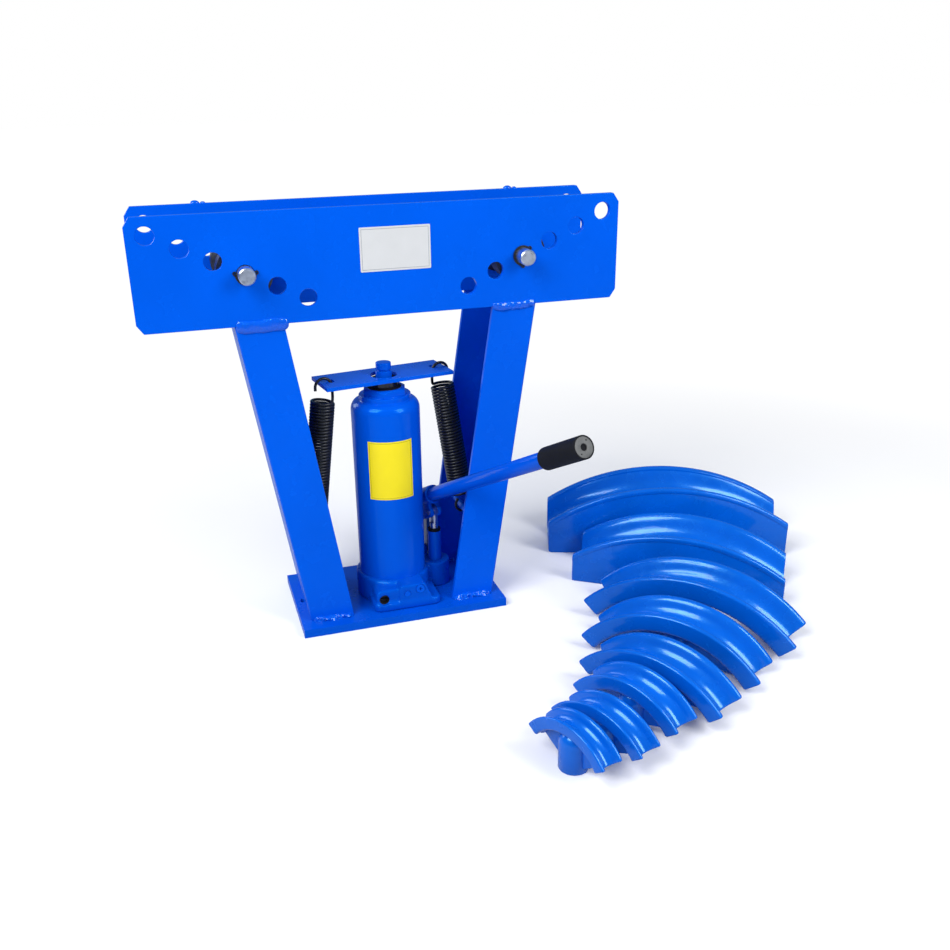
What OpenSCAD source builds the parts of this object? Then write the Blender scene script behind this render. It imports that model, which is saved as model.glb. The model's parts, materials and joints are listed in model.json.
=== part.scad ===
// Hydraulic pipe bender: a welded frame, a bottle jack with return springs and a set of bending dies
// Frame: X along the beam, Y to the back, Z up, origin under the middle of the base plate

/* [Base plate] */
// Reach of the base plate past the foot of each leg
base_over = 16; // [14:1:40]
// Reach of the base plate in front of and behind the legs
base_lip = 27; // [15:1:60]
// Thickness of the base plate
base_t = 14; // [8:1:24]
// Length of the drain slot beside each leg
drain_l = 12; // [8:1:30]
// Width of the drain slot beside each leg
drain_w = 6; // [4:0.5:8]

/* [Legs] */
// Height of the legs above the base plate
leg_h = 488; // [470:2:560]
// Width of the leg's flanges, measured level
leg_w = 70; // [62:1:80]
// Wall of the leg channel
leg_t = 8; // [5:0.5:10]
// Outside of a leg at its foot, from the middle
leg_foot_x = 154; // [150:1:190]
// Outside of a leg at its head, from the middle
leg_head_x = 228; // [200:1:250]
// Depth of the legs and of the beam over its plates
frame_d = 150; // [144:1:190]
// Height of the weld beads
weld_h = 5; // [3:0.5:7]

/* [Beam] */
// Length of the beam plates
beam_l = 720; // [710:5:900]
// Height of the beam plates
beam_h = 158; // [154:1:200]
// Thickness of the beam plates
plate_t = 10; // [6:0.5:12]
// Length of the corner cuts
corner_x = 9; // [3:1:12]
// Height of the corner cuts
corner_z = 13; // [3:1:14]
// Diameter of the pin holes
hole_d = 25.5; // [25:0.1:28]
// Pin holes in each row
hole_n = 6; // [5:1:6]
// Outermost pin hole, from the middle
hole_x = 333.5; // [325:0.5:336]
// Outermost pin hole, below the top edge
hole_drop = 25.5; // [22:0.5:30]
// Step of the pin holes along the beam
hole_step_x = 42.7; // [40:0.1:45]
// Step of the pin holes downwards
hole_step_z = 19.6; // [17:0.1:20]
// Hole that the pins are in, counted from outside
pin_hole = 4; // [3:1:5]
// Length of the blank name plate
plate_label_l = 105; // [60:1:140]
// Height of the blank name plate
plate_label_h = 63; // [40:1:90]
// Middle of the blank name plate along the beam
plate_label_x = 10; // [-20:1:20]

/* [Pins and rollers] */
// Diameter of the roller pins
pin_d = 24; // [20:0.5:24.5]
// Reach of the pins past the beam plates
pin_out = 26; // [12:1:40]
// Chamfer on the pin ends
pin_chamfer = 1.5; // [0.5:0.1:3]
// Thickness of the circlips
clip_t = 1.8; // [1.2:0.1:3]
// Radial width of the circlips
clip_w = 4; // [3:0.1:6]
// Depth of the circlip groove in the pin
clip_groove = 0.9; // [0.5:0.1:2]
// Diameter of the rollers
roller_d = 80; // [66:1:86]
// Depth of the pipe groove in the rollers
roller_groove = 14; // [8:0.5:18]
// Radius of the pipe groove in the rollers
roller_groove_r = 48; // [40:1:60]
// Gap between a roller and each beam plate
roller_gap = 1; // [0.4:0.1:3]

/* [Jack] */
// Diameter of the oil tube
tube_d = 111; // [98:1:114]
// Wall of the oil tube
tube_t = 4; // [3:0.5:6]
// Length of the oil tube with its shoulder
tube_l = 306; // [280:1:330]
// Height of the shoulder under the collar
shoulder_h = 17; // [10:0.5:24]
// Diameter of the collar on top of the tube
neck_d = 83; // [80:0.5:88]
// Height of the collar on top of the tube
neck_h = 8; // [5:0.5:14]
// Hexagon of the gland nut, across its flats
nut_af = 65; // [60:0.5:70]
// Height of the gland nut's hexagon
nut_h = 11; // [8:0.5:16]
// Height of the foot of the cast jack base
foot_h = 13; // [12:0.5:20]
// Height of the cast jack base at its collar
collar_h = 42; // [40:0.5:50]
// Width of the cast collar round the tube
collar_w = 6; // [5:0.5:12]
// Diameter of the ram
ram_d = 44; // [40:0.5:46]
// Length of ram that shows above the nut when it is down
ram_show = 13; // [8:0.5:20]
// Wall of the pressure cylinder
cyl_t = 6; // [4:0.5:8]
// Diameter of the ram nose
nose_d = 25; // [22:0.5:28]
// Diameter of the round head on the nose
head_d = 23; // [20:0.5:24]
// Height of the ram nose with its head
nose_h = 29; // [24:0.5:40]
// Height of the blank jack label
jack_label_h = 98; // [50:1:120]
// Angle that the blank jack label goes round the tube
jack_label_deg = 77; // [40:1:120]

/* [Pump] */
// Free space between the oil tube and the pump cylinder
pump_gap = 8.5; // [8:0.5:18]
// Diameter of the pump cylinder
pump_d = 23; // [18:0.5:24]
// Length of the pump cylinder above its boss
pump_l = 52.5; // [40:0.5:60]
// Height of the pump boss
pump_boss_h = 44; // [40:0.5:50]
// Diameter of the pump plunger
plunger_d = 14; // [10:0.5:14]
// Height of the plunger pin above the pump gland
plunger_rise = 30.5; // [30:0.5:44]
// Diameter of the three lever pins
lever_pin_d = 8; // [6:0.5:8.5]
// Distance between the two pins of the handle socket
lever_ab = 29.2; // [28:0.2:34]
// Turn of the pump lever from +X towards the front
handle_az = 74; // [70:1:80]
// Slope of the handle
handle_el = 27; // [24:1:30]
// Distance of the handle's axis from its pins
socket_off = 28; // [27.5:0.5:34]
// Wall of the handle socket
socket_t = 4; // [3:0.25:4]
// Depth of the handle socket
socket_l = 58; // [50:1:64]

/* [Handle] */
// Diameter of the handle tube
handle_d = 24; // [21:0.5:24]
// Wall of the handle tube
handle_t = 2; // [1.2:0.1:4]
// Length of the handle that shows
handle_l = 432; // [300:5:500]
// Length of the rubber grip
grip_l = 88; // [70:1:140]
// Wall of the rubber grip
grip_t = 4.5; // [2:0.25:5]

/* [Springs] */
// Length of the cross plate
cross_l = 212; // [200:1:224]
// Width of the cross plate
cross_w = 78; // [60:1:90]
// Thickness of the cross plate
cross_t = 6; // [4:0.5:10]
// Turn of the cross plate on the ram
cross_yaw = 8.6; // [0:0.1:9]
// Hole in the middle of the cross plate
cross_hole = 38; // [32:0.5:42]
// Width of the spring slots in the cross plate
slot_w = 10; // [9:0.5:12]
// Length of the spring slots in the cross plate
slot_l = 20; // [14:1:30]
// Metal left between a slot and the end of the plate
slot_edge = 13.5; // [11:0.5:15]
// Diameter of the spring wire
wire_d = 4.4; // [3:0.1:4.6]
// Mean radius of the spring coil
coil_r = 16.7; // [14:0.1:18]
// Curls in each spring
coil_n = 34; // [28:1:36]
// Mean radius of the hook at the top
hook_r = 13.5; // [12.5:0.1:14]
// Mean radius of the loop at the bottom
loop_r = 12; // [10.5:0.1:13]
// Rod that holds a spring, from the middle
rod_x = 127; // [122:0.5:132]
// Rod that holds a spring, above the base plate
rod_rise = 134.5; // [125:0.5:150]
// Diameter of the rod that holds a spring
rod_d = 12; // [8:0.5:14]

/* [Dies] */
// Diameter of the socket boss under each die
boss_d = 40; // [36:0.5:46]
// Length of the socket boss under each die
boss_l = 57.5; // [50:0.5:64]
// Depth of the socket in each die
socket_depth = 30; // [20:1:34]
// Wall of the dies under the groove
die_wall = 8; // [6:0.5:10]

/* [Hidden] */
$fn = 64;
fit = 0.05;
rest_gap = 0.3;

// Names of all separate pieces

paint = [0.02, 0.25, 0.85];
paint_dark = [0.01, 0.18, 0.68];
zinc = [0.75, 0.76, 0.78];
steel = [0.55, 0.56, 0.58];
black = [0.05, 0.05, 0.06];

// Levels and places of the welded frame
base_l = 2 * (leg_foot_x + base_over);
base_d = frame_d + 2 * base_lip;
beam_z = base_t + leg_h;
top_z = beam_z + beam_h;
face_y = frame_d / 2;
gap_y = face_y - plate_t;
leg_lean = (leg_head_x - leg_foot_x) / leg_h;
function leg_out(z) = leg_foot_x + leg_lean * (z - base_t);
function hole_at(i) = [hole_x - i * hole_step_x, top_z - hole_drop - i * hole_step_z];
pin_at = hole_at(pin_hole - 1);
pin_len = frame_d + 2 * pin_out;
clip_y = face_y + rest_gap;
clip_r = pin_d / 2 - clip_groove;
plate_label_z = beam_z + beam_h * 0.61;

// Weld bumps on the rear plate, placed by shares of the beam's length
bump_at = [-0.358, 0.322];
bump_w = 14;
bump_h = 4.5;
bump_step = 11.5;

// Levels and places of the jack
foot_z = base_t + foot_h;
tube_z = base_t + collar_h;
tube_top = tube_z + tube_l;
nut_top = tube_top + nut_h;
ram_top = nut_top + ram_show;
cross_top = ram_top + cross_t;
ram_r = ram_d / 2;
cyl_bore = ram_r + 1;
cyl_r = cyl_bore + cyl_t;
cyl_sink = 16;
cyl_z = tube_z - cyl_sink;
skirt_h = 18;
skirt_r = cyl_r + 7;
wiper_w = 5;
wiper_h = 4;
piston_h = 20;
seal_h = 4;
seal_depth = 4;
groove_h = 2;
collar_r = tube_d / 2 + collar_w;
foot_front = 21.5;
foot_left = 50;
foot_right = collar_r + 1;
foot_back = collar_r + 1;
foot_r = 12;
front_y = -(collar_r + foot_front);
label_z = tube_z + 143;

// Valves in the front of the jack base
valve_x = -33;
valve_z = base_t + 19.5;
valve_r = 8;
valve_deep = 20;
valve_head = 8;
stem_r = 4.5;
stem_l = 16;
block_x0 = -46;
block_in = 4;
block_h = 36;
block_cut = 6;
foot_lip = 1.5;
boss_x0 = -8;
boss_x1 = 48;
boss_left = 3;
boss_lean = 12;
boss_side = 14;
boss_back = 38;
boss_h = 42;
rib_z = 6;
screw_x = 27;
screw_z = base_t + 33;
screw_r = 7.2;
screw_l = 16;
plug_x = 5;
plug_z = base_t + 27;
plug_r = 5;
plug_l = 10;
filler_z = tube_z + 0.8 * tube_l;
filler_r = 5;

// Pump and its lever
pump_x = tube_d / 2 + pump_gap + pump_d / 2;
pump_z = base_t + pump_boss_h;
pump_sink = 18;
gland_z = pump_z + pump_l;
gland_h = 4;
pin_z = gland_z + gland_h + plunger_rise;
pin_r = lever_pin_d / 2;
pump_boss_r = pump_d / 2 + 12.5;
plunger_dip = 38;
neck_drop = 20;
tongue_t = 8;
cheek_gap = tongue_t + 0.6;
cheek_t = 6;
cheek_r = pin_r + 5;
eye_r = pin_r + 4;
sock_r = handle_d / 2 + socket_t;
sock_x1 = 16;
sock_x0 = sock_x1 - socket_l;
link_t = 7;
link_w = 13;
link_play = 2.2;
link_head = pin_r + link_play + 3.4;
link_s = lever_ab * cos(handle_el);
link_rise = 10;
link_z = pump_z + link_rise;
link_top = pin_z - lever_ab * sin(handle_el);
lug_t = 5.5;
handle_end = sock_x1 + handle_l;
plug_t = 4;
cap_r = handle_d / 2 + grip_t - 1.75;
cap_hole_r = 5;

// Cross plate and springs
cross_cy = (cross_hole - nose_d) / 2 - 0.5;
slot_x = cross_l / 2 - slot_edge - slot_w / 2;
hook_x = cross_l / 2 - slot_edge / 2;
hook_in = hook_r - wire_d / 2;
hook_z = cross_top + 0.6 - sqrt(hook_in * hook_in - slot_edge * slot_edge / 4);
rod_z = base_t + rod_rise;
loop_z = rod_z - rod_d / 2 - rest_gap - 0.2 + loop_r - wire_d / 2;
cross_dir = [cos(cross_yaw), sin(cross_yaw), 0];
coil_low = 20;
coil_high = 13;

// Each die: pipe, radius of its edge, half its arc, width, lip, X, Y, turn, upright ends
DIES = [
  [88.9, 383, 34.6, 123, 12, 537.5, 45.5, -20.4, 1],
  [76.1, 317, 34.1, 112, 11, 487, -109, -34.6, 1],
  [60.3, 230.5, 47.1, 88.5, 9, 428.5, -261.5, -44.8, 0],
  [48.3, 174, 52.6, 73.5, 8, 354, -342.5, -47.8, 0],
  [42.4, 149, 49.2, 65.5, 7.5, 283.5, -423, -56.7, 0],
  [33.7, 106, 53.3, 52, 6.5, 223.5, -467, -60.8, 0],
  [26.9, 96, 52.2, 41, 5.5, 160.5, -510, -64, 0],
  [21.3, 81, 54.6, 36.5, 5, 110.5, -528, -67.2, 0]
];
// Height of the two largest dies at their crown
tall = [130, 104];
// Share of a die's depth that its upright sides take
side_share = 0.84;
// Webs beside the boss: thickness, height of their foot on the boss, and the first die that has them
web_t = 8;
web_rise = 8;
web_from = 7;
groove_play = 0.5;
flare_h = 2;
dome_gap = 1.5;
cheek_more = 2;
nose_play = 0.7;

// Bar with two round ends, from one point to another in the XY plane
module oblong(len, wid, h, along_y = true) {
  rotate([0, 0, along_y ? 90 : 0]) {
    translate([-(len - wid) / 2, -wid / 2, 0]) cube([len - wid, wid, h]);
    for (s = [-1, 1]) translate([s * (len - wid) / 2, 0, 0]) cylinder(d = wid, h = h);
  }
}

// Block with rounded upright edges
module rblock(x0, x1, y0, y1, z0, z1, r) {
  translate([x0 + r, y0, z0]) cube([x1 - x0 - 2 * r, y1 - y0, z1 - z0]);
  translate([x0, y0 + r, z0]) cube([x1 - x0, y1 - y0 - 2 * r, z1 - z0]);
  for (x = [x0 + r, x1 - r], y = [y0 + r, y1 - r]) translate([x, y, z0]) cylinder(r = r, h = z1 - z0);
}

// Cylinder along Y, from y0 to y1
module ycyl(r, x, z, y0, y1) {
  translate([x, y0, z]) rotate([-90, 0, 0]) cylinder(r = r, h = y1 - y0);
}

// Outline in X and Z, thick from y0 to y1
module slab(points, y0, y1) {
  translate([0, y1, 0]) rotate([90, 0, 0]) linear_extrude(y1 - y0) polygon(points);
}

module base_plate() {
  slot_at = leg_foot_x + drain_w / 2 + 1;
  color(paint) difference() {
    translate([-base_l / 2, -base_d / 2, 0]) cube([base_l, base_d, base_t]);
    for (s = [-1, 1]) translate([s * slot_at, 0, -1]) oblong(drain_l, drain_w, base_t + 2);
  }
}

// Channel that leans outwards, with its web outside and its mouth towards the jack
module leg() {
  a = leg_foot_x;
  b = leg_head_x;
  z0 = base_t;
  z1 = beam_z;
  side = [[a - leg_w, z0], [a, z0], [b, z1], [b - leg_w, z1]];
  web = [[a - leg_t, z0], [a, z0], [b, z1], [b - leg_t, z1]];
  slab(side, -face_y, -face_y + leg_t);
  slab(side, face_y - leg_t, face_y);
  slab(web, -face_y, face_y);
}

module left_leg() {
  color(paint) mirror([1, 0, 0]) leg();
}

module right_leg() {
  color(paint) leg();
}

// One side plate of the beam with both rows of pin holes
module beam_side(y0, y1) {
  x = beam_l / 2;
  pts = [[-x + corner_x, beam_z], [x - corner_x, beam_z], [x, beam_z + corner_z], [x, top_z - corner_z],
    [x - corner_x, top_z], [-x + corner_x, top_z], [-x, top_z - corner_z], [-x, beam_z + corner_z]];
  difference() {
    slab(pts, y0, y1);
    for (i = [0:hole_n - 1], s = [-1, 1])
      ycyl(hole_d / 2, s * hole_at(i)[0], hole_at(i)[1], y0 - 1, y1 + 1);
  }
}

module front_beam() {
  color(paint) beam_side(-face_y, -gap_y);
}

module rear_beam() {
  color(paint) beam_side(gap_y, face_y);
}

// Round bump of weld on the top edge of the rear plate
module top_bump(x, wide, high) {
  ball = (wide * wide / 4 + high * high) / (2 * high);
  intersection() {
    translate([x, (gap_y + face_y) / 2, top_z + high - ball]) rotate([90, 0, 0]) sphere(r = ball);
    translate([x - wide, gap_y, top_z]) cube([2 * wide, plate_t, high + 1]);
  }
}

// Beads along the foot and the head of each leg, front and back, and bumps on the rear plate
module weld_beads() {
  foot_in = leg_foot_x - leg_w;
  head_in = leg_head_x - leg_w;
  bead_r = 2 * weld_h;
  color(paint_dark) for (s = [-1, 1], f = [-1, 1]) scale([s, f, 1]) {
    translate([foot_in + 2, 0, 0]) rotate([90, 0, 90]) linear_extrude(leg_w - 4)
      polygon([[face_y, base_t], [face_y + weld_h, base_t], [face_y, base_t + weld_h]]);
    difference() {
      translate([head_in + 2, face_y + 0.4 * weld_h - bead_r, beam_z]) rotate([0, 90, 0])
        cylinder(r = bead_r, h = leg_w - 4);
      translate([0, face_y - 3 * bead_r, beam_z - 2 * bead_r]) cube([beam_l, 3 * bead_r, 4 * bead_r]);
    }
  }
  color(paint_dark) for (share = bump_at) {
    top_bump(share * beam_l, bump_w, bump_h);
    top_bump(share * beam_l + bump_step, 0.55 * bump_w, 0.55 * bump_h);
  }
}

module name_plate() {
  translate([plate_label_x - plate_label_l / 2, -face_y - 0.4, plate_label_z - plate_label_h / 2])
    color("white") cube([plate_label_l, 0.4, plate_label_h]);
}

module spring_rod(s) {
  color(paint) ycyl(rod_d / 2, s * rod_x, rod_z, -face_y + leg_t, face_y - leg_t);
}

module left_spring_rod() {
  spring_rod(-1);
}

module right_spring_rod() {
  spring_rod(1);
}

// Roller pin with chamfered ends and a groove for a circlip outside each beam plate
module roller_pin(s) {
  r = pin_d / 2;
  h = pin_len / 2;
  g0 = clip_y - fit;
  g1 = clip_y + clip_t + fit;
  half = [[r, g0], [clip_r, g0], [clip_r, g1], [r, g1], [r, h - pin_chamfer], [r - pin_chamfer, h]];
  low = [for (i = [len(half) - 1:-1:0]) [half[i][0], -half[i][1]]];
  color(zinc) translate([s * pin_at[0], 0, pin_at[1]]) rotate([90, 0, 0])
    rotate_extrude() polygon(concat([[0, -h]], low, half, [[0, h]]));
}

module left_pin() {
  roller_pin(-1);
}

module right_pin() {
  roller_pin(1);
}

// Open clip with an eared end on either side of its gap
module circlip(s, f, gap_from, gap_to) {
  r0 = clip_r + fit;
  r1 = r0 + clip_w;
  far = 3 * r1;
  ear_r = clip_w * 0.75;
  y = f > 0 ? clip_y : -clip_y - clip_t;
  mid = (gap_from + gap_to) / 2;
  ears = [gap_from - 9, gap_to + 9];
  color(black) translate([s * pin_at[0], y + clip_t, pin_at[1]]) rotate([90, 0, 0]) difference() {
    union() {
      difference() {
        cylinder(r = r1, h = clip_t);
        translate([0, 0, -1]) linear_extrude(clip_t + 2)
          polygon([[0, 0], far * [cos(gap_from), sin(gap_from)], far * [cos(mid), sin(mid)],
            far * [cos(gap_to), sin(gap_to)]]);
      }
      for (a = ears) rotate([0, 0, a]) translate([r1, 0, 0]) cylinder(r = ear_r, h = clip_t);
    }
    translate([0, 0, -1]) cylinder(r = r0, h = clip_t + 2);
    for (a = ears) rotate([0, 0, a]) translate([r1, 0, -1]) cylinder(r = 1.2, h = clip_t + 2);
  }
}

module left_front_clip() {
  circlip(-1, -1, 15, 165);
}

module left_rear_clip() {
  circlip(-1, 1, 195, 345);
}

module right_front_clip() {
  circlip(1, -1, -80, 35);
}

module right_rear_clip() {
  circlip(1, 1, 195, 345);
}

// Grooved roller that turns on its pin
module roller(s) {
  h = 2 * (gap_y - roller_gap);
  r0 = pin_d / 2 + fit;
  r1 = roller_d / 2;
  color(black) translate([s * pin_at[0], 0, pin_at[1]]) rotate([90, 0, 0])
    rotate_extrude($fn = 96) difference() {
      translate([r0, -h / 2]) square([r1 - r0, h]);
      translate([r1 - roller_groove + roller_groove_r, 0]) circle(r = roller_groove_r);
    }
}

module left_roller() {
  roller(-1);
}

module right_roller() {
  roller(1);
}

// Turns a piece into the plane of the pump lever, with its pump at the origin
module at_pump() {
  translate([pump_x, 0, 0]) rotate([0, 0, -handle_az]) children();
}

// Puts a piece on the plunger pin, with X along the handle
module at_handle() {
  at_pump() translate([0, 0, pin_z]) rotate([0, -handle_el, 0]) children();
}

// Cylinder across the lever plane, centred on it
module cross_pin(r, x, z, len) {
  translate([x, len / 2, z]) rotate([90, 0, 0]) cylinder(r = r, h = len);
}

lug_y = link_t / 2 + rest_gap;
link_pin_l = 2 * (lug_y + lug_t);

// Block across the front of the jack base, low round the valve and higher round the screw
module front_block() {
  mid = base_t + block_h;
  top = base_t + boss_h;
  translate([0, front_y + boss_back, 0]) rotate([90, 0, 0]) {
    linear_extrude(boss_back - block_in) polygon([[block_x0, base_t], [boss_x1 - boss_lean, base_t],
      [boss_x1 - boss_lean, mid], [block_x0 + block_cut, mid], [block_x0, mid - block_cut]]);
    linear_extrude(boss_back) polygon([[boss_x0, base_t], [boss_x1, base_t], [boss_x1, base_t + boss_side],
      [boss_x1 - boss_lean, top], [boss_x0 + boss_left, top], [boss_x0, top - 2 * boss_left]]);
  }
}

// Cast base with foot, collar, front block, pump boss and the two lugs of the link
module jack_base() {
  color(paint) difference() {
    union() {
      rblock(-foot_left, foot_right, front_y - foot_lip, foot_back, base_t, foot_z, foot_r);
      translate([0, 0, base_t]) cylinder(r = collar_r, h = collar_h - 3);
      translate([0, 0, base_t + collar_h - 3]) cylinder(r1 = collar_r, r2 = collar_r - 3, h = 3);
      front_block();
      at_pump() {
        translate([0, 0, base_t]) cylinder(r = pump_boss_r, h = pump_boss_h);
        rblock(-link_s - 12, 0, -lug_y - lug_t - 3, lug_y + lug_t + 3, base_t, pump_z, 5);
        for (f = [-1, 1]) {
          y0 = f > 0 ? lug_y : -lug_y - lug_t;
          translate([-link_s - eye_r, y0, pump_z - 1]) cube([2 * eye_r, lug_t, link_rise + 1]);
          translate([-link_s, y0, link_z]) rotate([-90, 0, 0]) cylinder(r = eye_r, h = lug_t);
        }
      }
      translate([0, -pump_boss_r * 0.8, base_t + rib_z])
        cube([pump_x, pump_boss_r * 1.6, pump_boss_h - 2 * rib_z]);
    }
    translate([0, 0, cyl_z]) cylinder(r = cyl_r + fit, h = collar_h);
    translate([0, 0, tube_z]) cylinder(r = tube_d / 2 + rest_gap, h = tube_l);
    ycyl(valve_r, valve_x, valve_z, front_y - foot_lip - 1, front_y + valve_deep);
    ycyl(stem_r, valve_x, valve_z, front_y, front_y + valve_deep + stem_l);
    ycyl(screw_r, screw_x, screw_z, front_y - 1, front_y + screw_l);
    ycyl(plug_r, plug_x, plug_z, front_y - 1, front_y + plug_l);
    at_pump() {
      translate([0, 0, pump_z - pump_sink]) cylinder(r = pump_d / 2 + fit, h = pump_boss_h);
      cross_pin(pin_r, -link_s, link_z, link_pin_l + 2);
    }
  }
}

// Oil tube with a rounded shoulder and a collar at the top
module oil_tube() {
  r = tube_d / 2;
  nr = neck_d / 2;
  z1 = tube_top - neck_h;
  z0 = z1 - shoulder_h;
  n = 6;
  out = [for (i = [0:n]) [nr + (r - nr) * cos(90 * i / n), z0 + shoulder_h * sin(90 * i / n)]];
  in = [for (p = out) [p[0] - tube_t, p[1] - tube_t]];
  back = [for (i = [n:-1:0]) in[i]];
  hole = skirt_r + fit;
  color(paint) rotate_extrude($fn = 96) difference() {
    polygon(concat([[r - tube_t, tube_z], [r, tube_z]], out,
      [[nr, tube_top], [hole, tube_top], [hole, z1 - tube_t]], back));
    translate([0, tube_z]) square([hole, tube_l + 1]);
  }
}

// Blank label round the front of the tube
module jack_label() {
  r = tube_d / 2 + fit;
  color("yellow") translate([0, 0, label_z]) rotate([0, 0, -96.5 - jack_label_deg / 2])
    rotate_extrude(angle = jack_label_deg, $fn = 96) translate([r, 0]) square([0.3, jack_label_h]);
}

module pressure_cylinder() {
  h = tube_top - skirt_h - cyl_z;
  color(steel) translate([0, 0, cyl_z]) difference() {
    cylinder(r = cyl_r, h = h);
    translate([0, 0, 6]) cylinder(r = cyl_bore, h = h);
  }
}

// Hexagon nut with a skirt that holds the pressure cylinder down
module gland_nut() {
  r = nut_af / 2 / cos(30);
  color(paint) difference() {
    union() {
      intersection() {
        translate([0, 0, tube_top]) rotate([0, 0, 16]) cylinder(r = r, h = nut_h, $fn = 6);
        translate([0, 0, tube_top - 1]) cylinder(r1 = r + 14, r2 = nut_af / 2 - 1, h = nut_h + 1);
      }
      translate([0, 0, tube_top - skirt_h]) cylinder(r = skirt_r, h = skirt_h + 1);
    }
    translate([0, 0, tube_top - skirt_h - 1]) cylinder(r = ram_r + fit, h = skirt_h + nut_h + 2);
    translate([0, 0, nut_top - wiper_h]) cylinder(r = ram_r + wiper_w, h = wiper_h + 1);
  }
}

module wiper_ring() {
  color(black) translate([0, 0, nut_top - wiper_h]) rotate_extrude() polygon([[ram_r + fit, 0],
    [ram_r + wiper_w - fit, 0], [ram_r + wiper_w - fit, wiper_h], [ram_r + fit, wiper_h + 2.5]]);
}

// Rubber plug in the back of the tube
module filler_plug() {
  r = tube_d / 2;
  color(black) {
    ycyl(filler_r - 0.6, 0, filler_z, r + rest_gap, r + 4);
    ycyl(filler_r + 2, 0, filler_z, r + rest_gap, r + 2.5);
  }
}

// Screw valve with a slot across its head, at the bottom of its recess
module release_valve() {
  y1 = front_y + valve_deep - rest_gap;
  color(zinc) difference() {
    union() {
      ycyl(valve_r - 2 * fit, valve_x, valve_z, y1 - valve_head, y1);
      ycyl(stem_r - 2 * fit, valve_x, valve_z, y1 - 1, y1 + stem_l - 1);
    }
    translate([valve_x - valve_r - 1, y1 - valve_head - 1, valve_z - 1.25])
      cube([2 * valve_r + 2, 4.5, 2.5]);
  }
}

// Cross-head screw over the relief valve
module relief_screw() {
  y0 = front_y - 1;
  color(zinc) difference() {
    ycyl(screw_r - fit, screw_x, screw_z, y0, front_y + screw_l);
    for (a = [0, 90]) translate([screw_x, y0 - 1, screw_z]) rotate([0, a, 0])
      translate([-3, 0, -0.8]) cube([6, 4, 1.6]);
  }
}

module oil_plug() {
  color("goldenrod") ycyl(plug_r - fit, plug_x, plug_z, front_y - 0.5, front_y + plug_l);
}

ram_z0 = cyl_z + 6 + rest_gap;
seal_z = ram_z0 + piston_h / 2 - seal_h / 2;
stud_r = 8;
stud_l = 22;

// Ram with its piston at the bottom and a threaded hole in its top
module ram() {
  pr = cyl_bore - fit;
  color(zinc) difference() {
    union() {
      translate([0, 0, ram_z0]) cylinder(r = pr, h = piston_h);
      translate([0, 0, ram_z0]) cylinder(r = ram_r, h = ram_top - ram_z0);
    }
    translate([0, 0, seal_z]) difference() {
      cylinder(r = pr + 1, h = seal_h);
      translate([0, 0, -1]) cylinder(r = pr - seal_depth, h = seal_h + 2);
    }
    translate([0, 0, ram_top - stud_l]) cylinder(r = stud_r, h = stud_l + 1);
  }
}

module piston_seal() {
  pr = cyl_bore - fit;
  color(black) translate([0, 0, seal_z + fit]) difference() {
    cylinder(r = pr, h = seal_h - 2 * fit);
    translate([0, 0, -1]) cylinder(r = pr - seal_depth + fit, h = seal_h + 2);
  }
}

// Screwed-in nose with a groove under its round head
module ram_head() {
  low_h = nose_h / 2 - groove_h;
  nr = nose_d / 2;
  hr = head_d / 2;
  color(paint) translate([0, 0, ram_top]) rotate_extrude()
    polygon([[0, 0.5 - stud_l], [stud_r - fit, 0.5 - stud_l], [stud_r - fit, 0], [nr, 0], [nr, low_h],
      [hr - 2, low_h], [hr - 2, low_h + groove_h], [hr, low_h + groove_h], [hr, nose_h - 1.5],
      [hr - 1.5, nose_h], [0, nose_h]]);
}

// Moves a piece to the cross plate, which lies turned on the ram
module at_cross() {
  translate([0, cross_cy, ram_top]) rotate([0, 0, cross_yaw]) children();
}

module cross_plate() {
  color(paint) difference() {
    at_cross() translate([-cross_l / 2, -cross_w / 2, 0]) cube([cross_l, cross_w, cross_t]);
    at_cross() translate([0, 0, -1]) {
      cylinder(d = cross_hole, h = cross_t + 2);
      for (s = [-1, 1]) translate([s * slot_x, 0, 0]) oblong(slot_l, slot_w, cross_t + 2);
    }
  }
}

function unit(v) = v / norm(v);
function bezier(a, b, c, d, n) =
  [for (i = [1:n - 1]) let (t = i / n, k = 1 - t)
    k * k * k * a + 3 * k * k * t * b + 3 * k * t * t * c + t * t * t * d];

// Way of one spring's wire: loop round its rod, coil, and hook over the end of the cross plate
function spring_path(s) = let (
    low = [s * rod_x, 0, loop_z],
    high = [0, cross_cy, hook_z] + s * hook_x * cross_dir,
    w = unit(high - low),
    p0 = low + coil_low * w,
    p1 = high - coil_high * w,
    u = s * unit([1, 0, 0] - w[0] * w),
    v = cross(w, u),
    turns = coil_n + 0.5,
    rise = p1 - p0,
    first = 1 / 8,
    steps = (coil_n + 0.25) * 8,
    coil = [for (i = [0:steps]) let (q = first + i / 8, a = 360 * q)
      p0 + rise * (q / turns) + coil_r * (cos(a) * u + sin(a) * v)],
    loop = [for (a = [150:24:342]) low + loop_r * [s * cos(a), 0, sin(a)]],
    loop_end = low + [s * loop_r, 0, 0],
    in_dir = unit(coil[1] - coil[0]),
    out_dir = unit(coil[len(coil) - 1] - coil[len(coil) - 2]),
    hook_in_pt = high - s * hook_r * cross_dir,
    hook = [for (a = [0:22.5:180]) high + hook_r * ([0, 0, sin(a)] - s * cos(a) * cross_dir)],
    loop_tip = loop[0] + wire_d * unit([s * sin(150), 0, -cos(150)]),
    hook_tip = hook[len(hook) - 1] - [0, 0, wire_d],
    up = [0, 0, 1],
    last = coil[len(coil) - 1]
  ) concat([loop_tip], loop, [loop_end],
    bezier(loop_end, loop_end + 7 * up, coil[0] - 7 * in_dir, coil[0], 4), coil,
    bezier(last, last + 7 * out_dir, hook_in_pt - 6 * up, hook_in_pt, 4), hook, [hook_tip]);

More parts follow.
